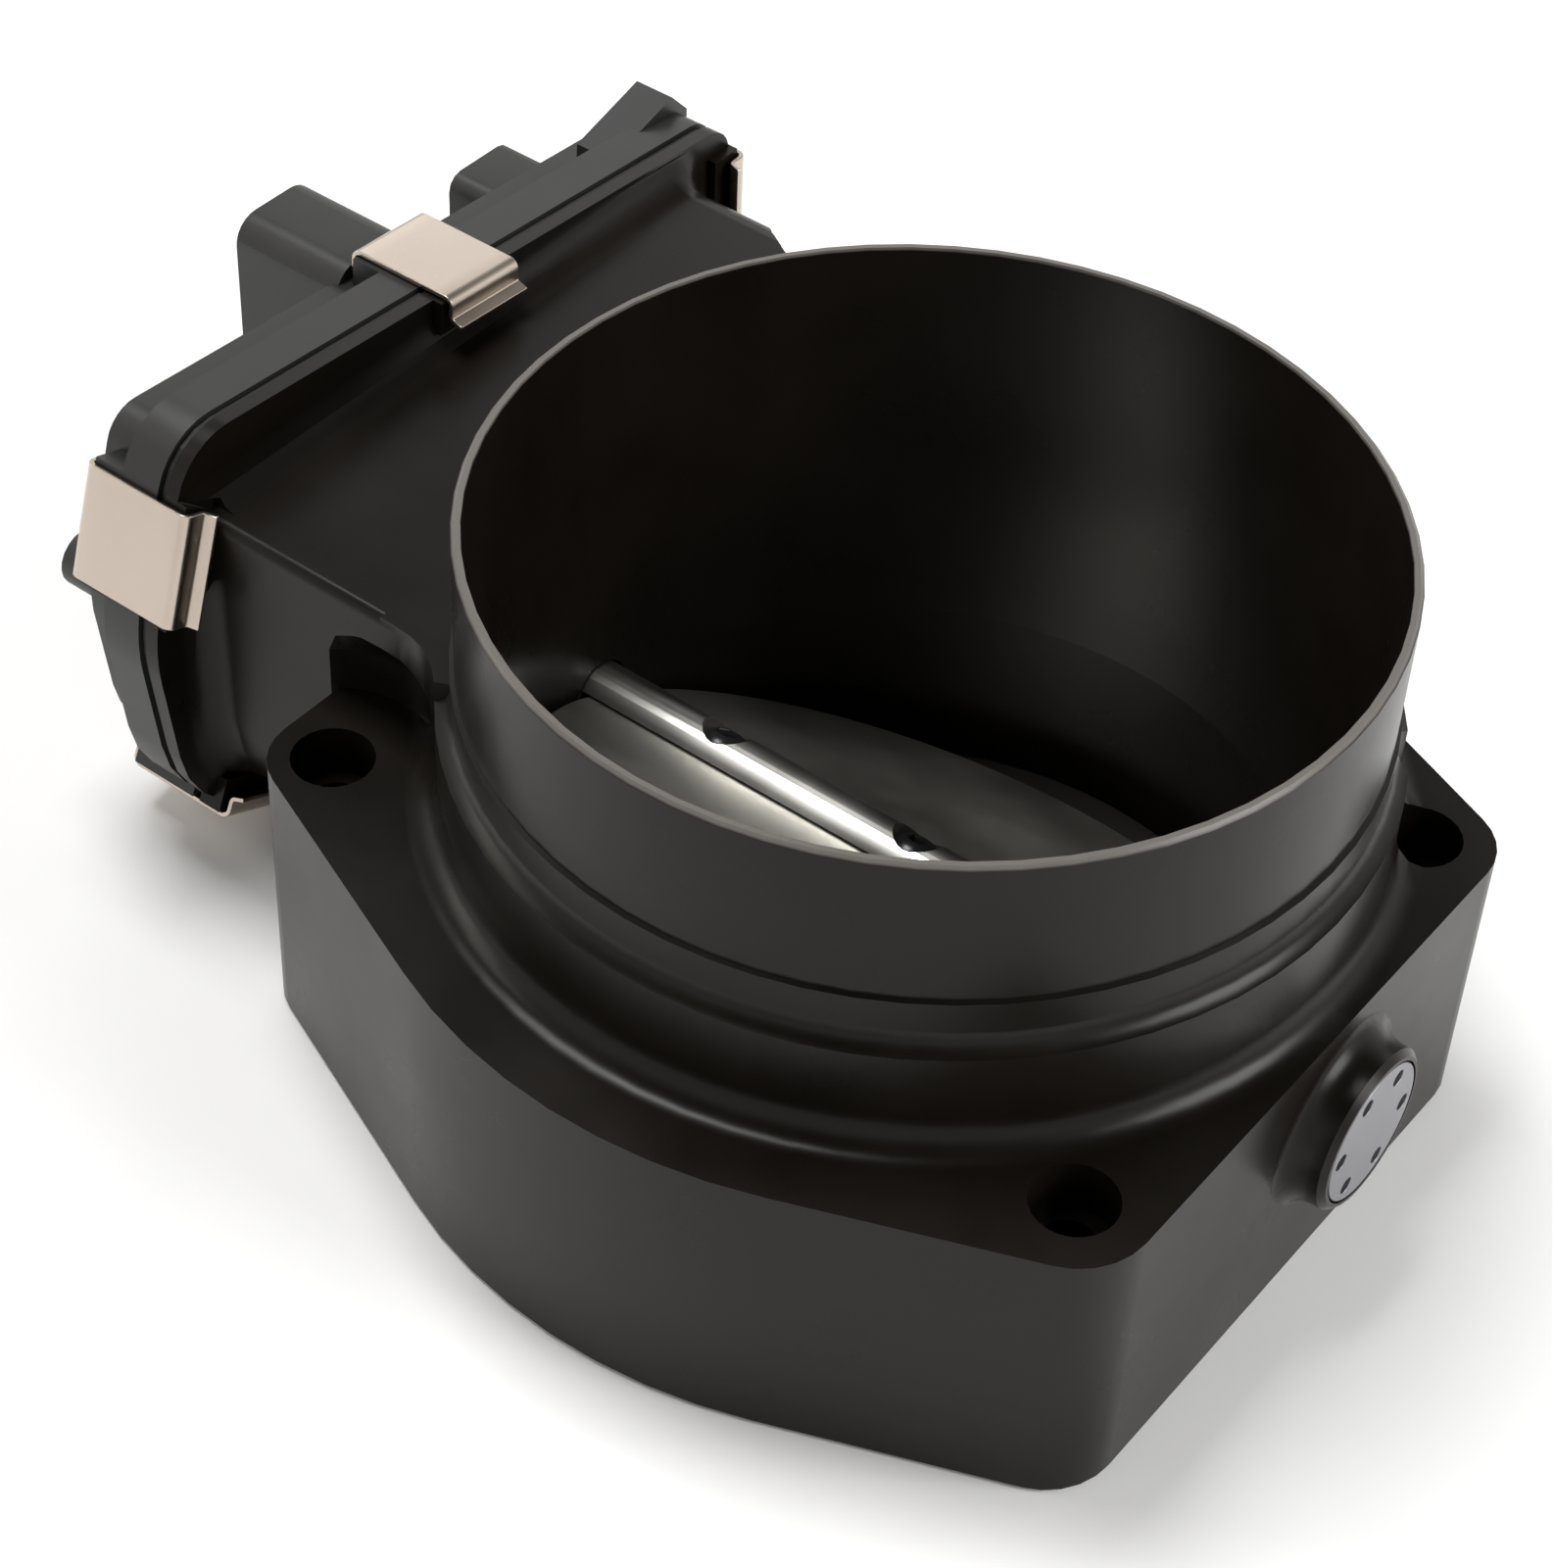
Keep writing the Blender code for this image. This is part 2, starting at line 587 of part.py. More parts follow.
# ---------------------------------------------------------------- shaft and plate
def throttle_shaft(pivot):
    """Ground shaft: plate slot, three screw pockets and a reduced gear seat."""
    profile = [(0, SHAFT_RIGHT_X), (SHAFT_R - 0.5, SHAFT_RIGHT_X), (SHAFT_R, SHAFT_RIGHT_X - 0.5),
               (SHAFT_R, SHAFT_LEFT_X + 0.5), (SHAFT_R - 0.5, SHAFT_LEFT_X), (0, SHAFT_LEFT_X)]
    shaft = turned("throttle_shaft", profile, 'X', (0, 0, SHAFT_Z), "shaft_steel", sides=32,
                   closed=False)
    slot = block("plate_slot", (-PLATE_R - 0.5, -9, -SLOT_T / 2),
                 (PLATE_R + 0.5, 9, SLOT_T / 2), cutter=True)
    tilt(slot)
    boolean(shaft, slot)
    for x in PLATE_SCREW_X:
        pocket = rod("screw_pocket", SCREW_HEAD_R + GAP, 'Z', SCREW_SEAT, 9.0, (x, 0),
                     cutter=True, sides=24)
        tilt(pocket)
        boolean(shaft, pocket)
        hole = rod("screw_hole", SCREW_R + 0.2, 'Z', -9.0, 9.0, (x, 0), cutter=True, sides=16)
        tilt(hole)
        boolean(shaft, hole)
    hang_on(shaft, pivot)


def tilt(piece):
    """Tip a piece modelled flat about the origin to the plate's resting tilt."""
    turn = Matrix.Rotation(-radians(PLATE_REST_DEG), 4, 'X')
    piece.data.transform(Matrix.Translation((0, 0, SHAFT_Z * MM)) @ turn)


def throttle_plate(pivot):
    """Butterfly disc with a bevelled rim and three screw holes."""
    half = PLATE_T / 2
    profile = [(0, half), (PLATE_R - 0.5, half), (PLATE_R, half - 0.4),
               (PLATE_R, 0.4 - half), (PLATE_R - 0.5, -half), (0, -half)]
    plate = turned("throttle_plate", profile, 'Z', (0, 0, 0), "plate_alloy",
                   sides=64, closed=False)
    tilt(plate)
    for x in PLATE_SCREW_X:
        hole = rod("plate_screw_hole", SCREW_R + 0.25, 'Z', -9, 9, (x, 0), cutter=True, sides=16)
        tilt(hole)
        boolean(plate, hole, solver='MANIFOLD')
    hang_on(plate, pivot)


def plate_screws(pivot):
    """Three button-head socket screws that clamp the plate in the slot."""
    for number, x in enumerate(PLATE_SCREW_X, start=1):
        top = SCREW_SEAT + GAP / 2 + SCREW_HEAD_T
        seat = SCREW_SEAT + GAP / 2
        profile = [(0, top - 1.1), (1.15, top - 1.1), (1.15, top), (2.1, top),
                   (SCREW_HEAD_R, top - 1.1), (SCREW_HEAD_R, seat), (SCREW_R, seat),
                   (SCREW_R, -4.2), (0, -4.2)]
        screw = turned(f"plate_screw_{number}", profile, 'Z', (x, 0, 0), "screw_black",
                       sides=20, closed=False)
        tilt(screw)
        hang_on(screw, pivot)


def bearings_and_seals(pivot):
    """Ball bearing at the gear end, needle bearing at the plain end, a seal beside each."""
    centre = (0, SHAFT_Z)
    low, high = BEARING_LEFT_X
    tube("ball_bearing_outer_race", BEARING_R - RACE_T, BEARING_R, 'X', low, high, centre,
         "shaft_steel")
    inner = tube("ball_bearing_inner_race", SHAFT_R + GAP / 2, SHAFT_R + RACE_T - 0.3, 'X',
                 low, high, centre, "shaft_steel")
    hang_on(inner, pivot)
    cage = tube("ball_bearing_ball_ring", SHAFT_R + RACE_T, BEARING_R - RACE_T - GAP, 'X',
                low + 1.5, high - 1.5, centre, "shaft_steel")
    hang_on(cage, pivot)
    tube("needle_bearing", SHAFT_R + GAP / 2, NEEDLE_R, 'X', *NEEDLE_X, centre, "shaft_steel")
    tube("shaft_seal_left", SHAFT_R + GAP / 2, SEAL_R, 'X', *SEAL_LEFT_X, centre, "seal_rubber")
    tube("shaft_seal_right", SHAFT_R + GAP / 2, SEAL_R, 'X', *SEAL_RIGHT_X, centre, "seal_rubber")


def end_cap():
    """Flush disc that closes the plain end, with six spanner holes."""
    cap = rod("end_cap", CAP_R, 'X', BOSS_X - CAP_T, BOSS_X, (0, SHAFT_Z), "machined_aluminium",
              sides=48)
    for number in range(6):
        angle = radians(CAP_HOLE_TURN_DEG + 60 * number)
        y = CAP_HOLE_RING_R * cos(angle)
        z = SHAFT_Z + CAP_HOLE_RING_R * sin(angle)
        boolean(cap, rod("cap_hole", CAP_HOLE_R, 'X', BOSS_X - 1.4, BOSS_X + 1, (y, z),
                         cutter=True, sides=14))


def flange_o_ring():
    """Manifold-face seal in its groove."""
    middle = (GROOVE_R[0] + GROOVE_R[1]) / 2
    half = (GROOVE_R[1] - GROOVE_R[0]) / 2 - GAP
    profile = [(middle + half * 0.9 * cos(a), 1.2 + 1.1 * sin(a))
               for a in [-2 * pi * index / 8 for index in range(8)]]
    turned("flange_o_ring", profile, 'Z', (0, 0, 0), "seal_rubber", sides=48)


# ---------------------------------------------------------------- gear train
def gear_radii(teeth):
    """Root and tip radius of a gear."""
    pitch_r = MODULE * teeth / 2
    return pitch_r - DEDENDUM * MODULE, pitch_r + ADDENDUM * MODULE


def sector_gear(pivot):
    """Moulded sector on the shaft: hub, web and the teeth the travel needs."""
    root_r, tip_r = gear_radii(SECTOR_TEETH)
    pitch = 2 * pi / SECTOR_TEETH
    start = radians(IDLER_DIRECTION_DEG - SHUT_TRAVEL_DEG - SECTOR_MARGIN_DEG)
    end = radians(IDLER_DIRECTION_DEG + OPEN_TRAVEL_DEG + SECTOR_MARGIN_DEG)
    mesh_angle = radians(IDLER_DIRECTION_DEG)
    outline = []
    first = ceil((start - mesh_angle) / pitch)
    last = int((end - mesh_angle) / pitch)
    for tooth in range(first, last + 1):
        middle = mesh_angle + tooth * pitch
        for share, radius in ((-0.62, root_r), (-0.26, tip_r), (0.26, tip_r), (0.62, root_r)):
            angle = middle + share * TOOTH_SHARE * pitch
            outline.append((radius * cos(angle), radius * sin(angle)))
    hub_start = mesh_angle + last * pitch + radians(45)
    hub_end = mesh_angle + first * pitch + 2 * pi - radians(45)
    outline += arc(0, 0, 9.5, hub_start, hub_end, 12)
    gear = prism("sector_gear", outline, 'X', *SECTOR_X, "gear_nylon", shift=(0, SHAFT_Z))
    boolean(gear, rod("sector_bore", SHAFT_R + 0.2, 'X', -100, -80, (0, SHAFT_Z), cutter=True))
    hang_on(gear, pivot)


def idler_gear(pivot):
    """Two-step gear: the small pinion drives the sector, the big wheel meets the motor."""
    pitch = 2 * pi / IDLER_PINION_TEETH
    toward_shaft = radians(IDLER_DIRECTION_DEG) + pi
    root_r, tip_r = gear_radii(IDLER_PINION_TEETH)
    pinion = gear_outline(IDLER_PINION_TEETH, root_r, tip_r, TOOTH_SHARE, toward_shaft + pitch / 2)
    gear = prism("idler_gear", pinion, 'X', IDLER_X[1] - 0.5, IDLER_PINION_X[1], "gear_nylon",
                 shift=(IDLER_Y, IDLER_Z))
    root_r, tip_r = gear_radii(IDLER_TEETH)
    toward_motor = radians(MOTOR_DIRECTION_DEG)
    wheel_outline = gear_outline(IDLER_TEETH, root_r, tip_r, TOOTH_SHARE, toward_motor)
    wheel = prism("idler_wheel", wheel_outline, 'X', *IDLER_X, cutter=True,
                  shift=(IDLER_Y, IDLER_Z))
    boolean(gear, wheel, 'UNION')
    boolean(gear, rod("idler_bore", IDLER_PIN_R + 0.15, 'X', -101, -80, (IDLER_Y, IDLER_Z),
                      cutter=True, sides=20))
    hang_on(gear, pivot)


def motor_pieces(pivot):
    """Can, end plate and screws stay put; the armature shaft and pinion turn."""
    centre = (MOTOR_Y, MOTOR_Z)
    tube("motor_can", 1.6, MOTOR_R, 'X', MOTOR_FRONT_X + 0.5, MOTOR_BACK_X, centre, "shaft_steel")
    lobe = MOTOR_SCREW_R + 1.9
    ring = ((MOTOR_Y, MOTOR_Z - MOTOR_SCREW_OFFSET, lobe), (MOTOR_Y + 8.5, MOTOR_Z, 3.0),
            (MOTOR_Y, MOTOR_Z + MOTOR_SCREW_OFFSET, lobe), (MOTOR_Y - 8.5, MOTOR_Z, 3.0))
    plate = prism("motor_plate", tangent_ring(ring), 'X', MOTOR_FRONT_X - 1.2,
                  MOTOR_FRONT_X + 0.2, "shaft_steel")
    boolean(plate, rod("plate_bore", 1.6, 'X', -95, -70, centre, cutter=True, sides=20))
    for number, side in enumerate((-1, 1), start=1):
        screw_centre = (MOTOR_Y, MOTOR_Z + side * MOTOR_SCREW_OFFSET)
        boolean(plate, rod("motor_screw_hole", MOTOR_SCREW_HOLE_R, 'X', -95, -70, screw_centre,
                           cutter=True, sides=16))
        tip_x = MOTOR_FRONT_X + MOTOR_SCREW_REACH
        seat_x = MOTOR_FRONT_X - 1.5
        profile = [(0, tip_x), (MOTOR_SCREW_R, tip_x), (MOTOR_SCREW_R, seat_x),
                   (2.7, seat_x), (2.2, seat_x - 1.7), (0, seat_x - 1.7)]
        turned(f"motor_screw_{number}", profile, 'X', (0, *screw_centre), "screw_black",
               sides=16, closed=False)
    armature = rod("motor_shaft", 1.3, 'X', MOTOR_PINION_X[0] - 0.5, MOTOR_BACK_X - 4, centre,
                   "shaft_steel", sides=16)
    root_r, tip_r = gear_radii(MOTOR_PINION_TEETH)
    turn = radians(MOTOR_DIRECTION_DEG) + pi + pi / MOTOR_PINION_TEETH
    teeth = gear_outline(MOTOR_PINION_TEETH, root_r, tip_r, TOOTH_SHARE, turn)
    pinion = prism("motor_pinion", teeth, 'X', *MOTOR_PINION_X, "brass", shift=centre)
    boolean(pinion, rod("pinion_bore", 1.5, 'X', -101, -80, centre, cutter=True, sides=16))
    for piece in (armature, pinion):
        hang_on(piece, pivot)


def return_spring():
    """Close-wound torsion spring round the shaft behind the sector gear."""
    turns = 3.5
    per_turn = 14
    radius = 8.6
    start_x, end_x = -83.2, -77.8
    count = int(turns * per_turn)
    curve = bpy.data.curves.new("return_spring", 'CURVE')
    curve.dimensions = '3D'
    curve.bevel_depth = 0.55 * MM
    curve.bevel_resolution = 1
    curve.use_fill_caps = True
    spline = curve.splines.new('POLY')
    spline.points.add(count)
    for index, point in enumerate(spline.points):
        angle = 2 * pi * index / per_turn
        along = (end_x - start_x) * (index / count - 0.5)
        point.co = (radius * cos(angle) * MM, radius * sin(angle) * MM, along * MM, 1.0)
    piece = made_mesh("return_spring", curve, 'X', (start_x + end_x) / 2, "shaft_steel", False)
    piece.data.transform(Matrix.Translation((0, 0, SHAFT_Z * MM)))


# ---------------------------------------------------------------- cover
def gear_cover():
    """Moulded cover shell: rim, stepped crown, connector shroud, bumps and feet."""
    cover = prism("gear_cover", tangent_ring(CASE_RING), 'X', COVER_RIM_X, COVER_BACK_X,
                  "cover_plastic")
    for name in CLIPS:
        boolean(cover, clip_pad(name, CLIP_PAD_X, COVER_BACK_X), 'UNION')
    crown = prism("cover_crown", tangent_ring(inset_ring(CASE_RING, CROWN_INSET)), 'X',
                  COVER_CROWN_X, COVER_RIM_X + 1, cutter=True)
    boolean(cover, crown, 'UNION')
    wedge = [(58.0, 54.6), (75.2, 54.6), (75.2, 60.8), (71.7, 64.4), (58.3, 60.4)]
    boolean(cover, prism("end_wedge", wedge, 'X', CLIP_PAD_X + 0.2, COVER_RIM_X + 2,
                         cutter=True), 'UNION')
    plug = ((PLUG_Y[0] + 4, PLUG_Z[0] + 4, 4.0), (PLUG_Y[1] - 4, PLUG_Z[0] + 4, 4.0),
            (PLUG_Y[1] - 4, PLUG_Z[1] - 4, 4.0), (PLUG_Y[0] + 4, PLUG_Z[1] - 4, 4.0))
    boolean(cover, prism("plug_shroud", tangent_ring(plug), 'X', PLUG_X, COVER_CROWN_X + 1,
                         cutter=True), 'UNION')
    bump = ((44.5, 42.5, 2.5), (52.5, 42.5, 2.5), (52.5, 56.0, 2.5), (44.5, 56.0, 2.5))
    boolean(cover, prism("lock_bump", tangent_ring(bump, 30), 'X', -114.0, COVER_CROWN_X + 1,
                         cutter=True), 'UNION')
    boolean(cover, rod("corner_post", 4.2, 'X', -113.0, COVER_RIM_X + 1, (-33.0, 37.5),
                       cutter=True, sides=20), 'UNION')
    boolean(cover, prism("rim_hollow", tangent_ring(inset_ring(CASE_RING, CASE_WALL)), 'X',
                         COVER_RIM_X + 0.6, SEAM_X + 2, cutter=True), solver='MANIFOLD')
    inside = tangent_ring(inset_ring(CASE_RING, CROWN_INSET + COVER_WALL))
    boolean(cover, prism("crown_hollow", inside, 'X', COVER_CROWN_X + COVER_WALL, SEAM_X + 2,
                         cutter=True), solver='MANIFOLD')
    boolean(cover, prism("plug_hollow", tangent_ring(inset_ring(plug, PLUG_WALL)), 'X', PLUG_X - 1,
                         COVER_CROWN_X - 1.5, cutter=True), solver='MANIFOLD')
    for centre in pin_centres():
        boolean(cover, rod("pin_hole", 0.8, 'X', -110, -100, centre, cutter=True, sides=12),
                solver='MANIFOLD')


def pin_centres():
    """Two rows of three contacts inside the shroud."""
    middle_y = (PLUG_Y[0] + PLUG_Y[1]) / 2
    step = (PLUG_Z[1] - PLUG_Z[0]) / (PIN_COUNT + 1)
    return [(middle_y, PLUG_Z[0] + step * (index + 1)) for index in range(PIN_COUNT)]


def connector_pins():
    """Tinned contacts that run from the board into the shroud."""
    for number, centre in enumerate(pin_centres(), start=1):
        rod(f"connector_pin_{number}", 0.5, 'X', -120.0, -103.0, centre, "brass", sides=8)


def sensor_board():
    """Position-sensor board under the cover crown, beside the shaft's magnet."""
    block("sensor_board", (-102.6, -14.0, 14.0), (-101.2, 14.0, 58.0), "board_green")


def cover_gasket():
    """Flat seal that follows the seam just inside the rims."""
    outer = tangent_ring(inset_ring(CASE_RING, 0.7), 20, 8)
    gasket = prism("cover_gasket", outer, 'X', SEAM_X - GASKET_T - 0.15, SEAM_X - 0.15,
                   "seal_rubber")
    window = tangent_ring(inset_ring(CASE_RING, CASE_WALL - 0.1), 20, 8)
    boolean(gasket, prism("gasket_window", window, 'X', SEAM_X - 2, SEAM_X + 2, cutter=True))


# ---------------------------------------------------------------- spring clips
def clip_frame(name):
    """Matrix whose local X runs along the case edge, Y outward and Z along world X."""
    y, z, facing, _ = CLIPS[name]
    angle = radians(facing)
    outward = Vector((0, cos(angle), sin(angle)))
    along = Vector((0, sin(angle), -cos(angle)))
    frame = Matrix((along, outward, Vector((1, 0, 0)))).transposed().to_4x4()
    return Matrix.Translation(Vector((0, y, z)) * MM) @ frame


def clip_pad(name, low_x, high_x):
    """The flat seat that the case rim and the cover rim give a clip."""
    half = CLIPS[name][3] / 2 + 0.8
    pad = block("clip_pad", (-half, -5.0, low_x), (half, 0.0, high_x), cutter=True)
    pad.data.transform(clip_frame(name))
    return pad


def strip_outline(path, thickness):
    """A bent strip's edge: the path offset half a thickness to both sides, mitred."""
    left, right = [], []
    for index, (u, v) in enumerate(path):
        before = path[max(index - 1, 0)]
        after = path[min(index + 1, len(path) - 1)]
        headings = []
        for start, end in ((before, (u, v)), ((u, v), after)):
            if start != end:
                headings.append(atan2(end[1] - start[1], end[0] - start[0]))
        bend = (headings[-1] - headings[0]) / 2
        normal = headings[0] + bend + pi / 2
        reach = thickness / 2 / cos(bend)
        left.append((u + reach * cos(normal), v + reach * sin(normal)))
        right.append((u - reach * cos(normal), v - reach * sin(normal)))
    return left + right[::-1]


def cover_clips():
    """C-shaped spring clips that pull the cover rim against the case rim."""
    lift = CLIP_LIFT + CLIP_T / 2
    near_x = PAD_BACK_X + 0.9
    far_x = CLIP_PAD_X - 0.7
    for name, (_, _, _, width) in CLIPS.items():
        path = [(far_x, -3.0)]
        path += arc(far_x + 1.0, lift - 1.0, 1.0, pi, pi / 2, 45)
        path += arc(near_x - 1.0, lift - 1.0, 1.0, pi / 2, 0, 30)
        path += [(near_x, -2.0), (near_x + 1.7, -3.0)]
        outline = strip_outline(path, CLIP_T)
        clip = prism(name, [(x, d) for x, d in outline], 'Z', -width / 2, width / 2,
                     "spring_steel_clip")
        stand = Matrix(((0, 0, 1), (0, 1, 0), (1, 0, 0))).to_4x4()
        clip.data.transform(clip_frame(name) @ stand)
        clip.data.flip_normals()


# ---------------------------------------------------------------- assembly
clear_scene()
PARTS = collection("throttle_body")
CUTTERS = collection("throttle_body_cutters")

throttle_pivot = pivot_at("throttle_pivot", 0.0, SHAFT_Z)
idler_pivot = pivot_at("idler_pivot", IDLER_Y, IDLER_Z)
motor_pivot = pivot_at("motor_pivot", MOTOR_Y, MOTOR_Z)

housing()
flange_o_ring()
throttle_shaft(throttle_pivot)
throttle_plate(throttle_pivot)
plate_screws(throttle_pivot)
bearings_and_seals(throttle_pivot)
end_cap()
return_spring()
sector_gear(throttle_pivot)
idler_gear(idler_pivot)
rod("idler_pin", IDLER_PIN_R, 'X', *IDLER_PIN_X, (IDLER_Y, IDLER_Z), "shaft_steel", sides=20)
motor_pieces(motor_pivot)
gear_cover()
connector_pins()
sensor_board()
cover_gasket()
cover_clips()
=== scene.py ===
# %% [markdown]
# # Throttle body: the looks
#
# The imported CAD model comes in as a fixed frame. Around it this file builds the
# finished surfaces: a dark anodised housing, a moulded gear cover, stainless clips,
# a brushed plate on a ground shaft, and the black screws that hold it. Lengths are
# in millimetres until MM turns them into metres, but the studio is set in metres.

# %% Load the frame
import json
from math import cos, pi, radians, sin

import bmesh
import bpy
import numpy as np
from mathutils import Matrix, Vector


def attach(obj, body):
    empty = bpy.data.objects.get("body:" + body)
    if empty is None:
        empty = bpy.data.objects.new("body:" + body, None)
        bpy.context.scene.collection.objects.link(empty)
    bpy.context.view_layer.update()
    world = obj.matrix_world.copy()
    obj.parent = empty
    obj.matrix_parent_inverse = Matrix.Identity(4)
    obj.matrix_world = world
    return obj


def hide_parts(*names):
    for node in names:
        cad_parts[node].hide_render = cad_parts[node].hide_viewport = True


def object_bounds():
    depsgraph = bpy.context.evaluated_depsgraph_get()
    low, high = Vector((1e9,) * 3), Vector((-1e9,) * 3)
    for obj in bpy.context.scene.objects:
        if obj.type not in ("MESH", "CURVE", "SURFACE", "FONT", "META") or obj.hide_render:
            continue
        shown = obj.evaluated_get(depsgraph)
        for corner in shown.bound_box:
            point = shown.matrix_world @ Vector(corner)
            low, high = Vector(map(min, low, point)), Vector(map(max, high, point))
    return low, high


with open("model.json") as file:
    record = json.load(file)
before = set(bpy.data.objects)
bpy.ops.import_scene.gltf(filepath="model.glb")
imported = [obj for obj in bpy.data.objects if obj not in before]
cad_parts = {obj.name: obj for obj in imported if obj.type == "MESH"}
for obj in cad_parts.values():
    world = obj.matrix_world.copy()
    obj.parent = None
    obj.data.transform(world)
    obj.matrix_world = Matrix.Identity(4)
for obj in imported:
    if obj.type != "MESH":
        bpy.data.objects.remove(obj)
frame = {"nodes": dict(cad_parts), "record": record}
CAD_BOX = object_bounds()
MM = 0.001
print("CAD box", [tuple(round(v / MM, 1) for v in corner) for corner in CAD_BOX])

# %% [markdown]
# ## The camera
#
# The part is seen from above its front right corner through a long lens, so the
# round inlet reads as a slightly opened ellipse. The camera is placed by the point
# it looks at, a compass angle, a height angle, a distance and a small roll.

# %% Camera
LOOK_AT = Vector((-15.18, -8.46, 37.50)) * MM
AZIMUTH = radians(35.588)
ELEVATION = radians(43.495)
DISTANCE = 468.866 * MM
ROLL = radians(3.1319)
SENSOR_SIZE = 36.0
LENS_LENGTH = 85.35983

back = Vector((sin(AZIMUTH) * cos(ELEVATION), -cos(AZIMUTH) * cos(ELEVATION), sin(ELEVATION)))
camera_data = bpy.data.cameras.new("camera")
camera_data.sensor_width = SENSOR_SIZE
camera_data.lens = LENS_LENGTH
camera_data.clip_start = 0.01
camera = bpy.data.objects.new("camera", camera_data)
bpy.context.scene.collection.objects.link(camera)
turn = back.to_track_quat('Z', 'Y').to_matrix() @ Matrix.Rotation(ROLL, 3, 'Z')
camera.matrix_world = Matrix.Translation(LOOK_AT + back * DISTANCE) @ turn.to_4x4()
bpy.context.scene.camera = camera
print("camera at", [round(v / MM, 1) for v in camera.location])

# %% [markdown]
# ## Floor and light
#
# A dark satin part is drawn by what it reflects. A soft light overhead opens up the
# top faces, a tall strip at the left gives the long highlights on the round walls, a
# square one at the right lifts the right face, and a weak one behind keeps the far
# edges from sinking into black. The floor is pale and very large, so its edge is
# never seen, and the room is pale only low down, where it draws the upright faces.

# %% Floor, world and lights
FLOOR_HALF_SIZE = 4.0
FLOOR_GAP = 0.0006
PALE_BELOW = 0.40
DIM_ABOVE = 0.76
ROOM_WHITE = (1.0, 0.985, 0.96, 1.0)
WARM_WHITE = (1.0, 0.95, 0.88)


def floor_plane(half_size, height):
    """A flat square with its four corners at one height, marked as staging."""
    mesh = bpy.data.meshes.new("floor")
    corners = np.array([(-1, -1), (1, -1), (1, 1), (-1, 1)]) * half_size
    verts = np.column_stack([corners, np.full(4, height)])
    mesh.from_pydata(verts.tolist(), [], [(0, 1, 2, 3)])
    plane = bpy.data.objects.new("floor", mesh)
    bpy.context.scene.collection.objects.link(plane)
    return plane


def studio_world(zenith, horizon):
    """A room with no image in it, whose brightness depends on the height of a direction.

    The height is 0 at the horizon and 1 straight up.  The brightness is horizon up to
    PALE_BELOW, zenith from DIM_ABOVE, and runs evenly from one to the other between.
    """
    world = bpy.data.worlds.new("studio")
    world.use_nodes = True
    tree = world.node_tree
    direction = tree.nodes.new('ShaderNodeTexCoord')
    parts = tree.nodes.new('ShaderNodeSeparateXYZ')
    rise = tree.nodes.new('ShaderNodeMapRange')
    rise.inputs["From Min"].default_value = PALE_BELOW
    rise.inputs["From Max"].default_value = DIM_ABOVE
    rise.inputs["To Min"].default_value = horizon
    rise.inputs["To Max"].default_value = zenith
    tree.links.new(direction.outputs["Generated"], parts.inputs[0])
    tree.links.new(parts.outputs[2], rise.inputs["Value"])
    tree.links.new(rise.outputs["Result"], tree.nodes["Background"].inputs["Strength"])
    tree.nodes["Background"].inputs["Color"].default_value = ROOM_WHITE
    return world


def soft_light(name, place, aim, width, height, power, tint=(1.0, 1.0, 1.0)):
    """A rectangular lamp at a place in metres, turned to face an aim point."""
    data = bpy.data.lights.new(name, 'AREA')
    data.shape = 'RECTANGLE'
    data.size = width
    data.size_y = height
    data.energy = power
    data.color = tint
    lamp = bpy.data.objects.new(name, data)
    lamp.location = place
    toward = Vector(aim) - Vector(place)
    lamp.rotation_mode = 'QUATERNION'
    lamp.rotation_quaternion = toward.to_track_quat('-Z', 'Y')
    bpy.context.scene.collection.objects.link(lamp)


floor = floor_plane(FLOOR_HALF_SIZE, CAD_BOX[0].z - FLOOR_GAP)
bpy.context.scene.world = studio_world(zenith=0.035, horizon=0.90)
bpy.context.scene.view_settings.view_transform = 'Standard'
soft_light("back_softbox", (-0.60, 0.95, 0.60), (0, 0, 0.04), 0.8, 0.3, 0.8)
soft_light("top_softbox", (-0.30, 0.02, 0.92), (0, 0, 0.03), 0.34, 0.44, 7.0)
soft_light("left_strip", (-1.05, -0.45, 0.55), (-0.02, 0, 0.04), 0.30, 0.9, 2.5, WARM_WHITE)
soft_light("right_strip", (0.90, 0.25, 0.62), (0.12, 0, 0.0), 0.5, 0.5, 8.0)
print("studio is set")

# %% [markdown]
# ## Shared effects
#
# Two effects are used by many finishes, so each one is a node group: the lines that
# a lathe or mill leaves, and a fine grain like blasted metal or moulded skin. The
# grain group also gives a slow cloud of tone that keeps a large face from looking
# flat. Both read the surface's own place, so they stay put when a piece moves.

# %% Node helpers and shared groups
PER_METRE = 1 / MM
CLOUD_SCALE = 55.0


def new_group(name, inputs, outputs):
    """An empty shader group with the named float or vector sockets."""
    group = bpy.data.node_groups.new(name, 'ShaderNodeTree')
    for socket_name, kind, value in inputs:
        made = group.interface.new_socket(name=socket_name, in_out='INPUT', socket_type=kind)
        if value is not None:
            made.default_value = value
    for socket_name, kind in outputs:
        group.interface.new_socket(name=socket_name, in_out='OUTPUT', socket_type=kind)
    return group


def add(tree, kind, **settings):
    """Add a node and set its plain attributes."""
    node = tree.nodes.new(kind)
    for key, value in settings.items():
        setattr(node, key, value)
    return node


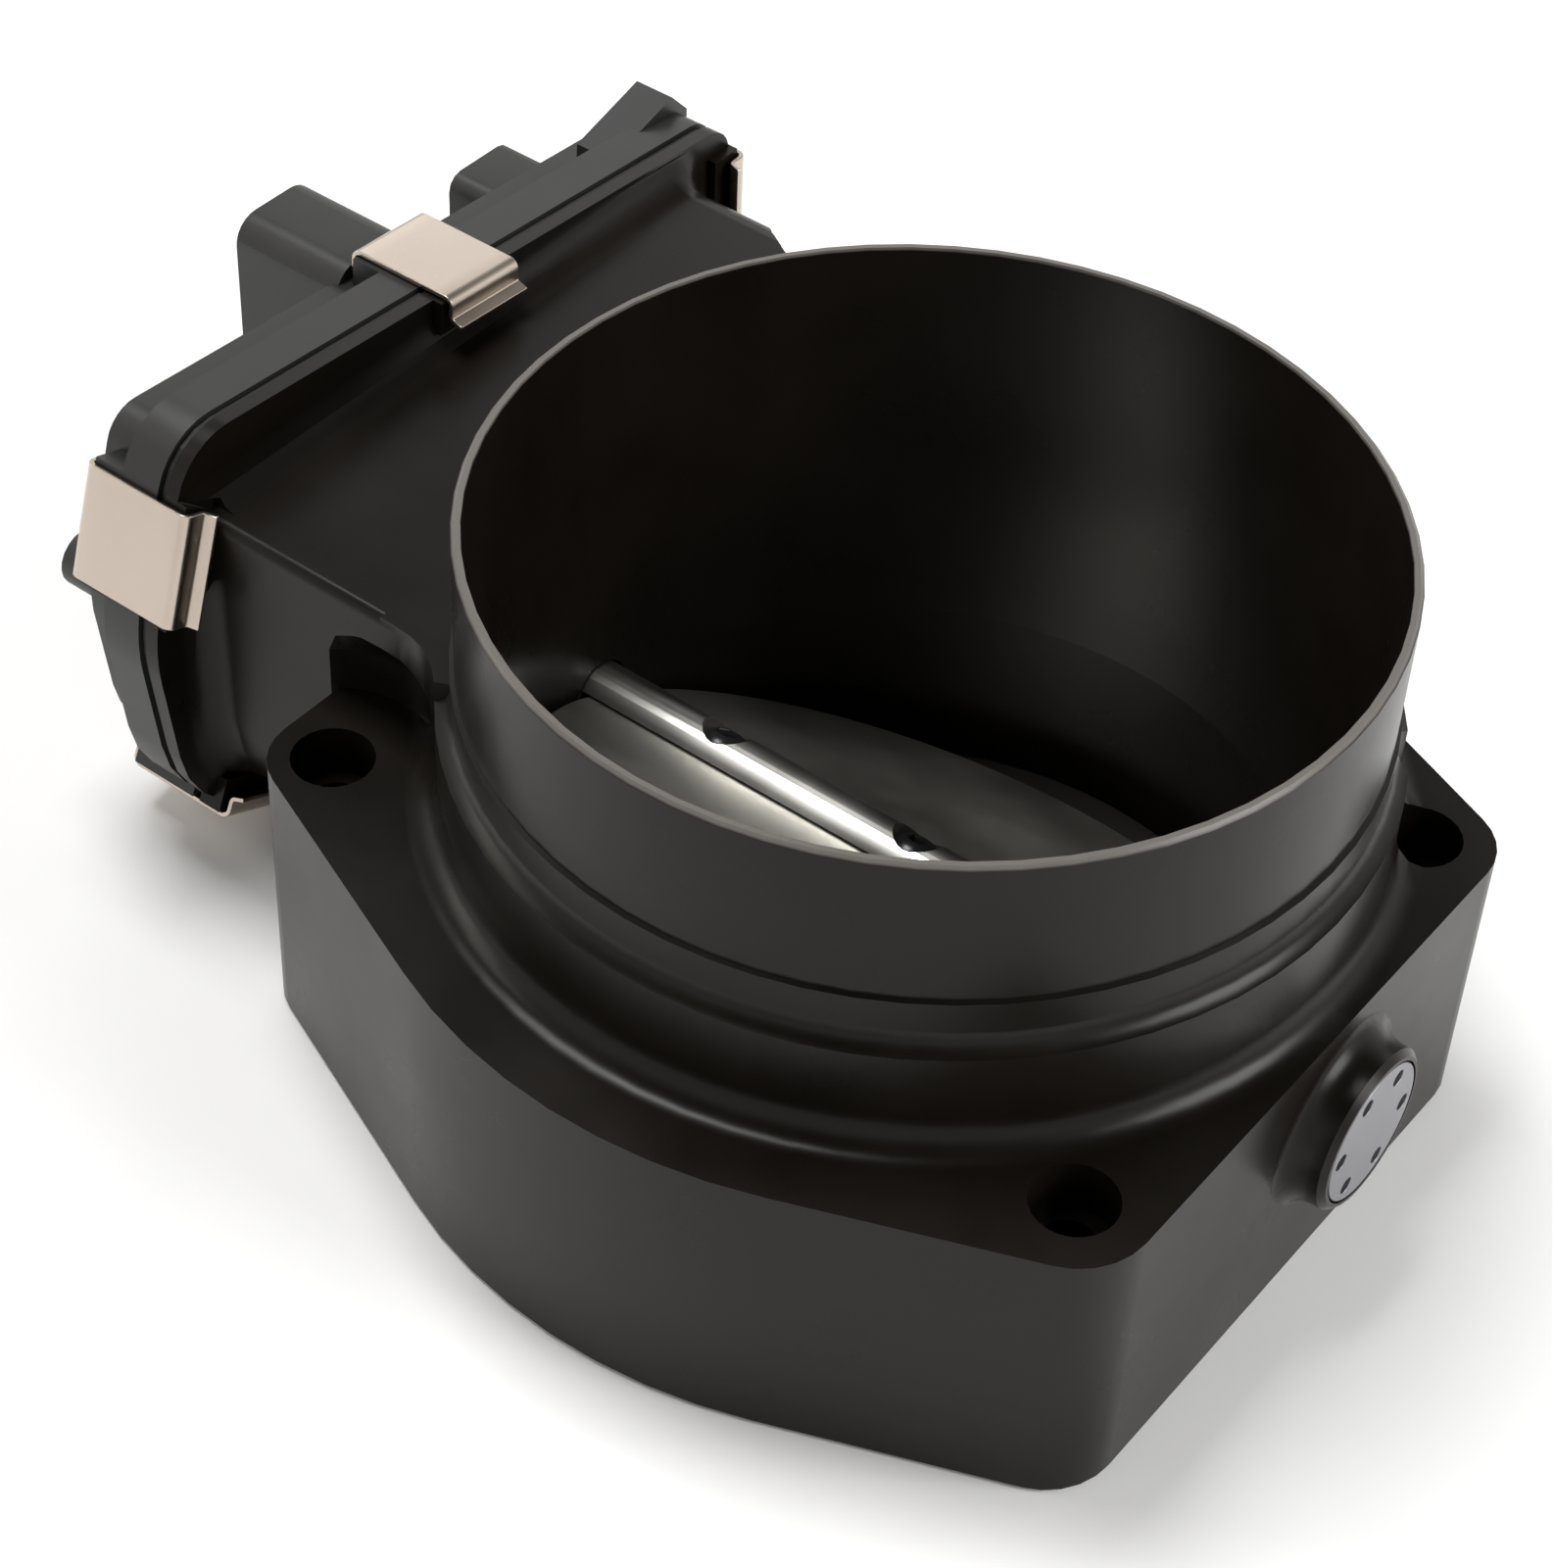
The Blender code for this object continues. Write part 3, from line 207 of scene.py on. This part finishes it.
def machining_lines():
    """Noise read along one axis only, so its bands are the rings that a tool leaves."""
    group = new_group("machining_lines",
                      [("Along", 'NodeSocketFloat', 0.0),
                       ("Lines per mm", 'NodeSocketFloat', 4.0)],
                      [("Height", 'NodeSocketFloat')])
    start = add(group, 'NodeGroupInput')
    end = add(group, 'NodeGroupOutput')
    scale = add(group, 'ShaderNodeMath', operation='MULTIPLY')
    per_metre = add(group, 'ShaderNodeMath', operation='MULTIPLY')
    per_metre.inputs[1].default_value = PER_METRE
    bands = add(group, 'ShaderNodeTexNoise', noise_dimensions='1D')
    bands.inputs["Scale"].default_value = 1.0
    bands.inputs["Detail"].default_value = 2.0
    group.links.new(start.outputs["Lines per mm"], per_metre.inputs[0])
    group.links.new(start.outputs["Along"], scale.inputs[0])
    group.links.new(per_metre.outputs[0], scale.inputs[1])
    group.links.new(scale.outputs[0], bands.inputs["W"])
    group.links.new(bands.outputs["Fac"], end.inputs["Height"])
    return group


def fine_grain():
    """Even noise in three dimensions: a height for the skin and a slow cloud of tone."""
    group = new_group("fine_grain",
                      [("Vector", 'NodeSocketVector', None),
                       ("Grains per mm", 'NodeSocketFloat', 4.0)],
                      [("Height", 'NodeSocketFloat'), ("Cloud", 'NodeSocketFloat')])
    start = add(group, 'NodeGroupInput')
    end = add(group, 'NodeGroupOutput')
    per_metre = add(group, 'ShaderNodeMath', operation='MULTIPLY')
    per_metre.inputs[1].default_value = PER_METRE
    grain = add(group, 'ShaderNodeTexNoise')
    grain.inputs["Detail"].default_value = 3.0
    cloud = add(group, 'ShaderNodeTexNoise')
    cloud.inputs["Scale"].default_value = CLOUD_SCALE
    cloud.inputs["Detail"].default_value = 4.0
    group.links.new(start.outputs["Grains per mm"], per_metre.inputs[0])
    group.links.new(per_metre.outputs[0], grain.inputs["Scale"])
    group.links.new(start.outputs["Vector"], grain.inputs["Vector"])
    group.links.new(start.outputs["Vector"], cloud.inputs["Vector"])
    group.links.new(grain.outputs["Fac"], end.inputs["Height"])
    group.links.new(cloud.outputs["Fac"], end.inputs["Cloud"])
    return group


LINES = machining_lines()
GRAIN = fine_grain()
print("groups", [g.name for g in bpy.data.node_groups])

# %% [markdown]
# ## The recipe of a finish
#
# Every finish starts from the same recipe: a base colour moved a little by a slow
# cloud, a roughness moved by the same cloud, and a bump made of grain and, on
# metal, of machining lines. The recipe is a function, and each finish is one call
# with its own numbers.

# %% The finish recipe
NOISE_LOW = 0.25
NOISE_HIGH = 0.75
MIX_FIRST = 6
MIX_SECOND = 7
MIX_RESULT = 2
GRAIN_STRENGTH = 0.6
LINE_STRENGTH = 0.7
COAT_ROUGHNESS = 0.12


def place_group(tree, group, **values):
    """Put a group node in a material and set its constant inputs."""
    node = add(tree, 'ShaderNodeGroup', node_tree=group)
    for name, value in values.items():
        node.inputs[name.replace("_", " ")].default_value = value
    return node


def along_axis(tree, coords, axis):
    """The coordinate that runs along X, Y or Z, or out from the bore's axis for R."""
    parts = add(tree, 'ShaderNodeSeparateXYZ')
    tree.links.new(coords, parts.inputs[0])
    if axis in "XYZ":
        return parts.outputs["XYZ".index(axis)]
    flat = add(tree, 'ShaderNodeCombineXYZ')
    tree.links.new(parts.outputs[0], flat.inputs[0])
    tree.links.new(parts.outputs[1], flat.inputs[1])
    reach = add(tree, 'ShaderNodeVectorMath', operation='LENGTH')
    tree.links.new(flat.outputs[0], reach.inputs[0])
    return reach.outputs["Value"]


def ranged(tree, noise, low, high):
    """Move a noise value, which seldom leaves NOISE_LOW to NOISE_HIGH, to low to high."""
    node = add(tree, 'ShaderNodeMapRange')
    node.inputs["From Min"].default_value = NOISE_LOW
    node.inputs["From Max"].default_value = NOISE_HIGH
    node.inputs["To Min"].default_value = low
    node.inputs["To Max"].default_value = high
    tree.links.new(noise, node.inputs["Value"])
    return node.outputs["Result"]


def blend_colours(tree, factor, dark, light):
    """Mix two colours by a 0 to 1 value."""
    node = add(tree, 'ShaderNodeMix', data_type='RGBA')
    node.inputs[MIX_FIRST].default_value = (*dark, 1.0)
    node.inputs[MIX_SECOND].default_value = (*light, 1.0)
    tree.links.new(factor, node.inputs[0])
    return node.outputs[MIX_RESULT]


def bump(tree, height, distance, strength, before=None):
    """A bump of a real depth in metres, on top of an earlier one if there is one."""
    node = add(tree, 'ShaderNodeBump')
    node.inputs["Distance"].default_value = distance
    node.inputs["Strength"].default_value = strength
    tree.links.new(height, node.inputs["Height"])
    if before is not None:
        tree.links.new(before, node.inputs["Normal"])
    return node.outputs["Normal"]


def make_finish(name, dark, light, rough, metallic=0.0, specular=0.5, grain=(4.0, 0.004),
                lines=(), coat=0.0):
    """A procedural material.

    rough is (lowest, highest); grain is (grains per mm, depth in mm); lines is a list
    of (axis, lines per mm, depth in mm).
    """
    material = bpy.data.materials.new(name)
    material.use_nodes = True
    tree = material.node_tree
    shader = tree.nodes["Principled BSDF"]
    shader.inputs["Metallic"].default_value = metallic
    shader.inputs["Specular IOR Level"].default_value = specular
    shader.inputs["Coat Weight"].default_value = coat
    shader.inputs["Coat Roughness"].default_value = COAT_ROUGHNESS
    coords = add(tree, 'ShaderNodeTexCoord').outputs["Object"]
    grains_per_mm, grain_depth = grain
    skin = place_group(tree, GRAIN, Grains_per_mm=grains_per_mm)
    tree.links.new(coords, skin.inputs["Vector"])
    tone = ranged(tree, skin.outputs["Cloud"], 0.0, 1.0)
    tree.links.new(blend_colours(tree, tone, dark, light), shader.inputs["Base Color"])
    tree.links.new(ranged(tree, skin.outputs["Cloud"], *rough), shader.inputs["Roughness"])
    normal = bump(tree, skin.outputs["Height"], grain_depth * MM, GRAIN_STRENGTH)
    for axis, per_mm, depth in lines:
        tool = place_group(tree, LINES, Lines_per_mm=per_mm)
        tree.links.new(along_axis(tree, coords, axis), tool.inputs["Along"])
        normal = bump(tree, tool.outputs["Height"], depth * MM, LINE_STRENGTH, normal)
    tree.links.new(normal, shader.inputs["Normal"])
    return material


def tint_where(material, axis, start_mm, end_mm, colour):
    """Move the base colour towards another one between two places along an axis."""
    tree = material.node_tree
    shader = tree.nodes["Principled BSDF"]
    before = shader.inputs["Base Color"].links[0].from_socket
    coords = add(tree, 'ShaderNodeTexCoord').outputs["Object"]
    mask = add(tree, 'ShaderNodeMapRange', interpolation_type='SMOOTHSTEP')
    mask.inputs["From Min"].default_value = start_mm * MM
    mask.inputs["From Max"].default_value = end_mm * MM
    tree.links.new(along_axis(tree, coords, axis), mask.inputs["Value"])
    mix = add(tree, 'ShaderNodeMix', data_type='RGBA')
    tree.links.new(mask.outputs["Result"], mix.inputs[0])
    tree.links.new(before, mix.inputs[MIX_FIRST])
    mix.inputs[MIX_SECOND].default_value = (*colour, 1.0)
    tree.links.new(mix.outputs[MIX_RESULT], shader.inputs["Base Color"])


# %% [markdown]
# ## One finish for each kind of stock
#
# A black anodised skin is a thin dyed layer with a low gloss, so it is a very dark
# dielectric and not a metal. The shaft, the plate and the clips are bare, so they
# are full metals whose lines follow the way each was ground or rolled. Mouldings are
# a little paler than the housing and have a coarser grain. Each call gives the two
# colours that the cloud mixes, and then the lowest and highest roughness.

# %% The finishes
ANODISED = make_finish("anodised_black", (0.0046, 0.0034, 0.0024), (0.0080, 0.0060, 0.0044),
                       (0.25, 0.33), specular=0.20, grain=(3.0, 0.0008),
                       lines=[('Z', 2.4, 0.0008)])
CLEAR_ANODISED = make_finish("clear_anodised", (0.25, 0.25, 0.27), (0.31, 0.31, 0.33),
                             (0.34, 0.42), metallic=0.9, grain=(5.0, 0.002))
GROUND_STEEL = make_finish("ground_steel", (0.70, 0.68, 0.63), (0.86, 0.84, 0.79),
                           (0.26, 0.38), metallic=1.0, grain=(2.0, 0.001),
                           lines=[('X', 5.0, 0.0016)])
PLATE_ALLOY = make_finish("brushed_plate", (0.42, 0.41, 0.37), (0.54, 0.53, 0.49),
                          (0.40, 0.50), metallic=1.0, grain=(3.0, 0.001),
                          lines=[('Y', 3.0, 0.0020), ('Y', 0.7, 0.0020)])
BLACK_OXIDE = make_finish("black_oxide", (0.012, 0.012, 0.013), (0.030, 0.029, 0.028),
                          (0.22, 0.36), metallic=0.4, grain=(6.0, 0.002))
MOULDED_BLACK = make_finish("moulded_black", (0.014, 0.014, 0.014), (0.022, 0.022, 0.021),
                            (0.34, 0.48), specular=0.42, grain=(3.2, 0.010))
STRIP_STEEL = make_finish("strip_stainless", (0.50, 0.43, 0.37), (0.58, 0.50, 0.43),
                          (0.20, 0.32), metallic=1.0, grain=(1.2, 0.004),
                          lines=[('X', 2.5, 0.0012)])
SEAL_RUBBER = make_finish("seal_rubber", (0.010, 0.010, 0.010), (0.018, 0.018, 0.018),
                          (0.55, 0.70), grain=(4.0, 0.006))
MOULDED_NYLON = make_finish("moulded_nylon", (0.60, 0.57, 0.49), (0.72, 0.69, 0.62),
                            (0.42, 0.55), grain=(3.0, 0.006))
PLAIN_BRASS = make_finish("plain_brass", (0.62, 0.44, 0.18), (0.76, 0.57, 0.27),
                          (0.24, 0.36), metallic=1.0, grain=(4.0, 0.002))
BOARD_GREEN = make_finish("board_green", (0.010, 0.085, 0.035), (0.018, 0.12, 0.05),
                          (0.25, 0.35), grain=(2.0, 0.010), coat=0.4)
PALE_FLOOR = make_finish("pale_floor", (0.90, 0.90, 0.90), (0.92, 0.92, 0.92),
                         (0.70, 0.80), specular=0.2, grain=(0.5, 0.001))
floor.data.materials.append(PALE_FLOOR)

# Painted highlight: the inlet lip's top corners are tinted a little paler, standing in for
# the thin line of light along that edge.
LIP_HIGHLIGHT_START = 81.95
LIP_HIGHLIGHT_END = 82.30
tint_where(ANODISED, 'Z', LIP_HIGHLIGHT_START, LIP_HIGHLIGHT_END, (0.13, 0.12, 0.11))
# Little light reaches the bench below the bore, so the floor is dark inside it.
BORE_SHADE_START = 56.0
BORE_SHADE_END = 53.0
tint_where(PALE_FLOOR, 'R', BORE_SHADE_START, BORE_SHADE_END, (0.012, 0.010, 0.009))

FINISH_OF_SLOT = {
    "anodised_black": ANODISED,
    "machined_aluminium": CLEAR_ANODISED,
    "shaft_steel": GROUND_STEEL,
    "plate_alloy": PLATE_ALLOY,
    "screw_black": BLACK_OXIDE,
    "cover_plastic": MOULDED_BLACK,
    "spring_steel_clip": STRIP_STEEL,
    "seal_rubber": SEAL_RUBBER,
    "gear_nylon": MOULDED_NYLON,
    "brass": PLAIN_BRASS,
    "board_green": BOARD_GREEN,
}
SLOT_OF_NODE = {row["node"]: row["material_slot"] for row in frame["record"]["subparts"]}
for node_name, node_object in frame["nodes"].items():
    node_object.data.materials.clear()
    node_object.data.materials.append(FINISH_OF_SLOT[SLOT_OF_NODE[node_name]])
print(len(FINISH_OF_SLOT), "finishes on", len(SLOT_OF_NODE), "nodes")

# %% [markdown]
# ## Housing and cover
#
# The housing is milled from one block and the cover is moulded, and both have so
# many pockets, holes and steps that a single formula can't give them. They are
# made from a merged copy of their CAD solid instead. Flat triangles are joined
# into whole faces, and a narrow round is put along every sharp edge, because a
# real edge always catches a thin line of light.

# %% Worked copies of CAD solids
MERGE_DISTANCE = 2e-6
FLAT_WITHIN_DEG = 0.6
SHARP_DEG = 34.0
FACE_WEIGHT = 90
HOUSING_EDGE = 0.55
COVER_EDGE = 0.45


def settle(piece, finish, body, node):
    """Give a new piece its finish and its body, and hide the CAD node it stands for."""
    piece.data.materials.clear()
    piece.data.materials.append(finish)
    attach(piece, body)
    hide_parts(node)


def smooth_piece(name, mesh, sharp_deg):
    """Shade a mesh smooth between its sharp edges and put it in the scene."""
    mesh.shade_smooth()
    mesh.set_sharp_from_angle(angle=radians(sharp_deg))
    piece = bpy.data.objects.new(name, mesh)
    bpy.context.scene.collection.objects.link(piece)
    return piece


def round_edges(piece, edge_mm, angle_deg):
    """Put a narrow two-step round along every edge that turns more than an angle."""
    edge = piece.modifiers.new("edge_round", 'BEVEL')
    edge.width = edge_mm * MM
    edge.segments = 2
    edge.limit_method = 'ANGLE'
    edge.angle_limit = radians(angle_deg)
    edge.harden_normals = True


def worked_copy(node, name, edge_mm):
    """Merge a CAD solid's triangles, join flat ones and round its sharp edges."""
    bm = bmesh.new()
    bm.from_mesh(frame["nodes"][node].data)
    bmesh.ops.remove_doubles(bm, verts=bm.verts, dist=MERGE_DISTANCE)
    bmesh.ops.dissolve_limit(bm, angle_limit=radians(FLAT_WITHIN_DEG), verts=bm.verts,
                             edges=bm.edges)
    bmesh.ops.recalc_face_normals(bm, faces=bm.faces)
    mesh = bpy.data.meshes.new(name)
    bm.to_mesh(mesh)
    bm.free()
    piece = smooth_piece(name, mesh, SHARP_DEG)
    round_edges(piece, edge_mm, SHARP_DEG)
    even = piece.modifiers.new("even_normals", 'WEIGHTED_NORMAL')
    even.keep_sharp = True
    even.weight = FACE_WEIGHT
    print(name, len(mesh.polygons), "faces before its edges are rounded")
    return piece


housing_skin = worked_copy("throttle_housing", "housing_skin", HOUSING_EDGE)
settle(housing_skin, ANODISED, "housing", "throttle_housing")
cover_skin = worked_copy("gear_cover", "cover_skin", COVER_EDGE)
settle(cover_skin, MOULDED_BLACK, "housing", "gear_cover")

# %% [markdown]
# ## Throttle shaft and end cap
#
# The shaft is ground round, then slotted for the plate and spot-faced for three
# screw heads. The end cap is a turned disc with six spanner holes. Both keep their
# cut shapes from the CAD solid, and only get the small edge rounds of real parts.

# %% Shaft and cap
SHAFT_EDGE = 0.16
CAP_EDGE = 0.14
shaft_skin = worked_copy("throttle_shaft", "shaft_skin", SHAFT_EDGE)
settle(shaft_skin, GROUND_STEEL, "throttle", "throttle_shaft")
cap_skin = worked_copy("end_cap", "cap_skin", CAP_EDGE)
settle(cap_skin, CLEAR_ANODISED, "housing", "end_cap")

# %% [markdown]
# ## Turned pieces
#
# The plate and its screws are lathe work, so one function sweeps a profile about an
# axis. Each row of the profile may also change its radius with the angle, which is
# how a six-sided socket goes into a round screw head.

# %% A swept surface
SHAFT_AXIS_Z = 25.5
REST_OPEN_DEG = 28.5
REST_TILT = Matrix.Rotation(-radians(REST_OPEN_DEG), 3, 'X')
TURNED_SHARP_DEG = 30.0


def outward_mesh(name, verts, faces):
    """A mesh from corners in metres, with all of its faces turned outwards."""
    mesh = bpy.data.meshes.new(name)
    mesh.from_pydata(verts.tolist(), [], faces)
    bm = bmesh.new()
    bm.from_mesh(mesh)
    bmesh.ops.recalc_face_normals(bm, faces=bm.faces)
    bm.to_mesh(mesh)
    bm.free()
    return mesh


def swept_solid(name, radius, height, rotation, centre):
    """Close a grid of rings into a solid.

    radius and height hold one row per ring and one column per angle.  The point of
    row i, column j is (r cos a, r sin a, h) with a = 2 pi j / columns, and the first
    and last rings close on single points.  The solid is turned by rotation and then
    moved to centre, in millimetres.
    """
    rows, columns = radius.shape
    angle = 2 * pi * np.arange(columns) / columns
    grid = np.stack([radius * np.cos(angle), radius * np.sin(angle), height], axis=2)
    ends = np.array([[0.0, 0.0, height[0].mean()], [0.0, 0.0, height[-1].mean()]])
    local = np.concatenate([grid.reshape(-1, 3), ends])
    turned = np.array(rotation) @ local.T
    verts = (turned.T + np.array(centre)) * MM
    index = np.arange(rows * columns).reshape(rows, columns)
    after = np.roll(index, -1, axis=1)
    quads = np.stack([index[:-1], after[:-1], after[1:], index[1:]], axis=2).reshape(-1, 4)
    first = np.full(columns, rows * columns)
    last = first + 1
    fans = np.concatenate([np.stack([first, after[0], index[0]], axis=1),
                           np.stack([last, index[-1], after[-1]], axis=1)])
    mesh = outward_mesh(name, verts, quads.tolist() + fans.tolist())
    print(name, len(mesh.polygons), "faces")
    return smooth_piece(name, mesh, TURNED_SHARP_DEG)


def rings(profile, columns):
    """Two arrays, radius and height, from a list of (radius, height) rows."""
    rows = np.array(profile)
    return np.repeat(rows[:, :1], columns, axis=1), np.repeat(rows[:, 1:], columns, axis=1)


# %% [markdown]
# ## Throttle plate
#
# A flat disc 2 mm thick, ground to a blunt bevel all round so it can seal against
# the bore without jamming. It is one swept profile. The list gives the upper half,
# from the flat face over a broken corner and the bevel to the rim, and the lower
# half is its mirror image.

# %% Plate
PLATE_R = 50.7
PLATE_HALF_T = 1.0
PLATE_COLUMNS = 256
upper_half = [(PLATE_R * 0.5, PLATE_HALF_T), (PLATE_R - 0.62, PLATE_HALF_T),
              (PLATE_R - 0.50, PLATE_HALF_T - 0.03), (PLATE_R - 0.08, 0.64),
              (PLATE_R, 0.52)]
lower_half = [(radius, -height) for radius, height in reversed(upper_half)]
plate_radius, plate_height = rings(upper_half + lower_half, PLATE_COLUMNS)
plate = swept_solid("plate_skin", plate_radius, plate_height, REST_TILT,
                    (0, 0, SHAFT_AXIS_Z))
settle(plate, PLATE_ALLOY, "throttle", "throttle_plate")

# %% [markdown]
# ## Plate screws
#
# Button-head socket screws sit in the shaft's spot faces. The head is a low dome,
# and the socket's wall has the radius of a hexagon, apothem / cos(angle from the
# middle of the nearest side). The shank stops just above the plate's face. Each
# screw is turned a little further than the last, because no fitter lines them up.

# %% Screws
SCREW_COLUMNS = 72
SCREW_SEAT_Z = 2.45
HEAD_R = 3.3
HEAD_T = 1.9
SOCKET_APOTHEM = 1.25
SOCKET_DEPTH = 1.15
SOCKET_MOUTH_T = 0.12
DRILL_POINT_T = 0.25
SHANK_R = 1.8
SHANK_END_Z = PLATE_HALF_T + 0.1
SCREW_X = (-31.0, 0.0, 31.0)
SCREW_SPIN_DEG = 25
column_angle = 2 * pi * np.arange(SCREW_COLUMNS) / SCREW_COLUMNS
hexagon = SOCKET_APOTHEM / np.cos((column_angle + pi / 6) % (pi / 3) - pi / 6)
head_top = SCREW_SEAT_Z + HEAD_T
dome = [(1.62, head_top), (1.75, head_top - 0.01), (2.25, head_top - 0.22),
        (2.75, head_top - 0.62), (3.12, head_top - 1.12), (HEAD_R, head_top - 1.5),
        (HEAD_R, SCREW_SEAT_Z + 0.1), (HEAD_R - 0.1, SCREW_SEAT_Z)]
shank = [(SHANK_R, SCREW_SEAT_Z), (SHANK_R, SHANK_END_Z), (SHANK_R * 0.5, SHANK_END_Z)]
outer_radius, outer_height = rings(dome + shank, SCREW_COLUMNS)
socket_floor = head_top - SOCKET_DEPTH
socket_radius = np.stack([hexagon * 0.5, hexagon * 0.97, hexagon, hexagon * 1.06])
socket_height = np.repeat([[socket_floor - DRILL_POINT_T], [socket_floor],
                           [head_top - SOCKET_MOUTH_T], [head_top]], SCREW_COLUMNS, axis=1)
screw_radius = np.concatenate([socket_radius, outer_radius])
screw_height = np.concatenate([socket_height, outer_height])
for number, screw_x in enumerate(SCREW_X, start=1):
    spin = REST_TILT @ Matrix.Rotation(radians(SCREW_SPIN_DEG * number), 3, 'Z')
    screw = swept_solid(f"screw_skin_{number}", screw_radius, screw_height, spin,
                        (screw_x, 0, SHAFT_AXIS_Z))
    settle(screw, BLACK_OXIDE, "throttle", f"plate_screw_{number}")

# %% [markdown]
# ## Spring clips
#
# Each clip is a strip of stainless spring steel, 0.7 mm thick, bent into a C that
# hooks over the cover rim and the case rim, with a lip turned out so it can be
# pried off. The strip is a path swept across its width. The path is offset half a
# thickness to both sides, and the long edges are rounded by a Bevel modifier.

# %% Clip strips
STRIP_T = 0.7
STRIP_LIFT = 0.2
STRIP_EDGE = 0.16
NEAR_X = -87.5
FAR_X = -104.9
BEND_R = 1.15
FAR_END_D = -3.0
LIP_TURN_R = 0.8
LIP_TURN_D = -1.85
LIP_TURN_END_DEG = 238
LIP_END = (NEAR_X + 1.95, -3.05)
FLAT_POINTS = 6
STRIP_SHARP_DEG = 40.0
STRIP_ROUND_DEG = 60.0
# Each seat is the Y and Z of the middle of the clip's place on the rim, the angle
# that it faces, in degrees from +Y towards +Z, and the strip's width.
CLIP_SEATS = {
    "clip_front": (-39.37, 52.4, 162.7, 16.5),
    "clip_top": (19.3, 65.06, 86.4, 13.5),
    "clip_back": (75.66, 50.0, 0.84, 14.0),
    "clip_bottom_front": (-28.66, 3.82, 245.0, 14.0),
    "clip_bottom_back": (69.22, 7.17, -48.0, 14.0),
}


def bend(centre_x, centre_d, radius, start_deg, end_deg, count=9):
    """Points on an arc in the (x, distance out) plane."""
    angle = np.radians(np.linspace(start_deg, end_deg, count))
    x = centre_x + radius * np.cos(angle)
    distance = centre_d + radius * np.sin(angle)
    return np.stack([x, distance], axis=1)


def strip_path():
    """Far hook, flat back, near bend, leg, and the lip turned out on a small bend."""
    top = STRIP_LIFT + STRIP_T / 2
    far_bend = bend(FAR_X + BEND_R, top - BEND_R, BEND_R, 180, 90)
    flat = np.linspace([FAR_X + BEND_R, top], [NEAR_X - BEND_R, top], FLAT_POINTS + 2)[1:-1]
    near_bend = bend(NEAR_X - BEND_R, top - BEND_R, BEND_R, 90, 0)
    lip_turn = bend(NEAR_X + LIP_TURN_R, LIP_TURN_D, LIP_TURN_R, 180, LIP_TURN_END_DEG, 6)
    return np.concatenate([[[FAR_X, FAR_END_D]], far_bend, flat, near_bend, lip_turn,
                           [LIP_END]])


def clip_strip(name, y, z, facing_deg, width):
    """Sweep the path across the width.

    With n the path's unit normal, the two faces are path + n t / 2 and path - n t / 2.
    A point at distance d out and w along the edge stands at
    (x, y + d cos f + w sin f, z + d sin f - w cos f), where f is the facing angle.
    """
    path = strip_path()
    along = np.gradient(path, axis=0)
    along /= np.linalg.norm(along, axis=1, keepdims=True)
    normal = np.stack([-along[:, 1], along[:, 0]], axis=1)
    loop = np.concatenate([path + normal * STRIP_T / 2, (path - normal * STRIP_T / 2)[::-1]])
    across = np.array([-0.5, 0.5]) * width
    facing = radians(facing_deg)
    distance = loop[:, 1][None, :]
    verts = np.stack([np.repeat(loop[:, 0][None, :], 2, axis=0),
                      y + distance * cos(facing) + across[:, None] * sin(facing),
                      z + distance * sin(facing) - across[:, None] * cos(facing)], axis=2)
    count = len(loop)
    index = np.arange(count)
    after = np.roll(index, -1)
    sides = np.stack([index, after, after + count, index + count], axis=1)
    low = np.arange(count // 2 - 1)
    high = count - 1 - low
    edge = np.stack([low, low + 1, high - 1, high], axis=1)
    faces = np.concatenate([sides, edge[:, ::-1], edge + count])
    mesh = outward_mesh(name, verts.reshape(-1, 3) * MM, faces.tolist())
    strip = smooth_piece(name, mesh, STRIP_SHARP_DEG)
    round_edges(strip, STRIP_EDGE, STRIP_ROUND_DEG)
    return strip


for clip_name, seat in CLIP_SEATS.items():
    strip = clip_strip(clip_name + "_strip", *seat)
    settle(strip, STRIP_STEEL, "housing", clip_name)
print(len(CLIP_SEATS), "clips")
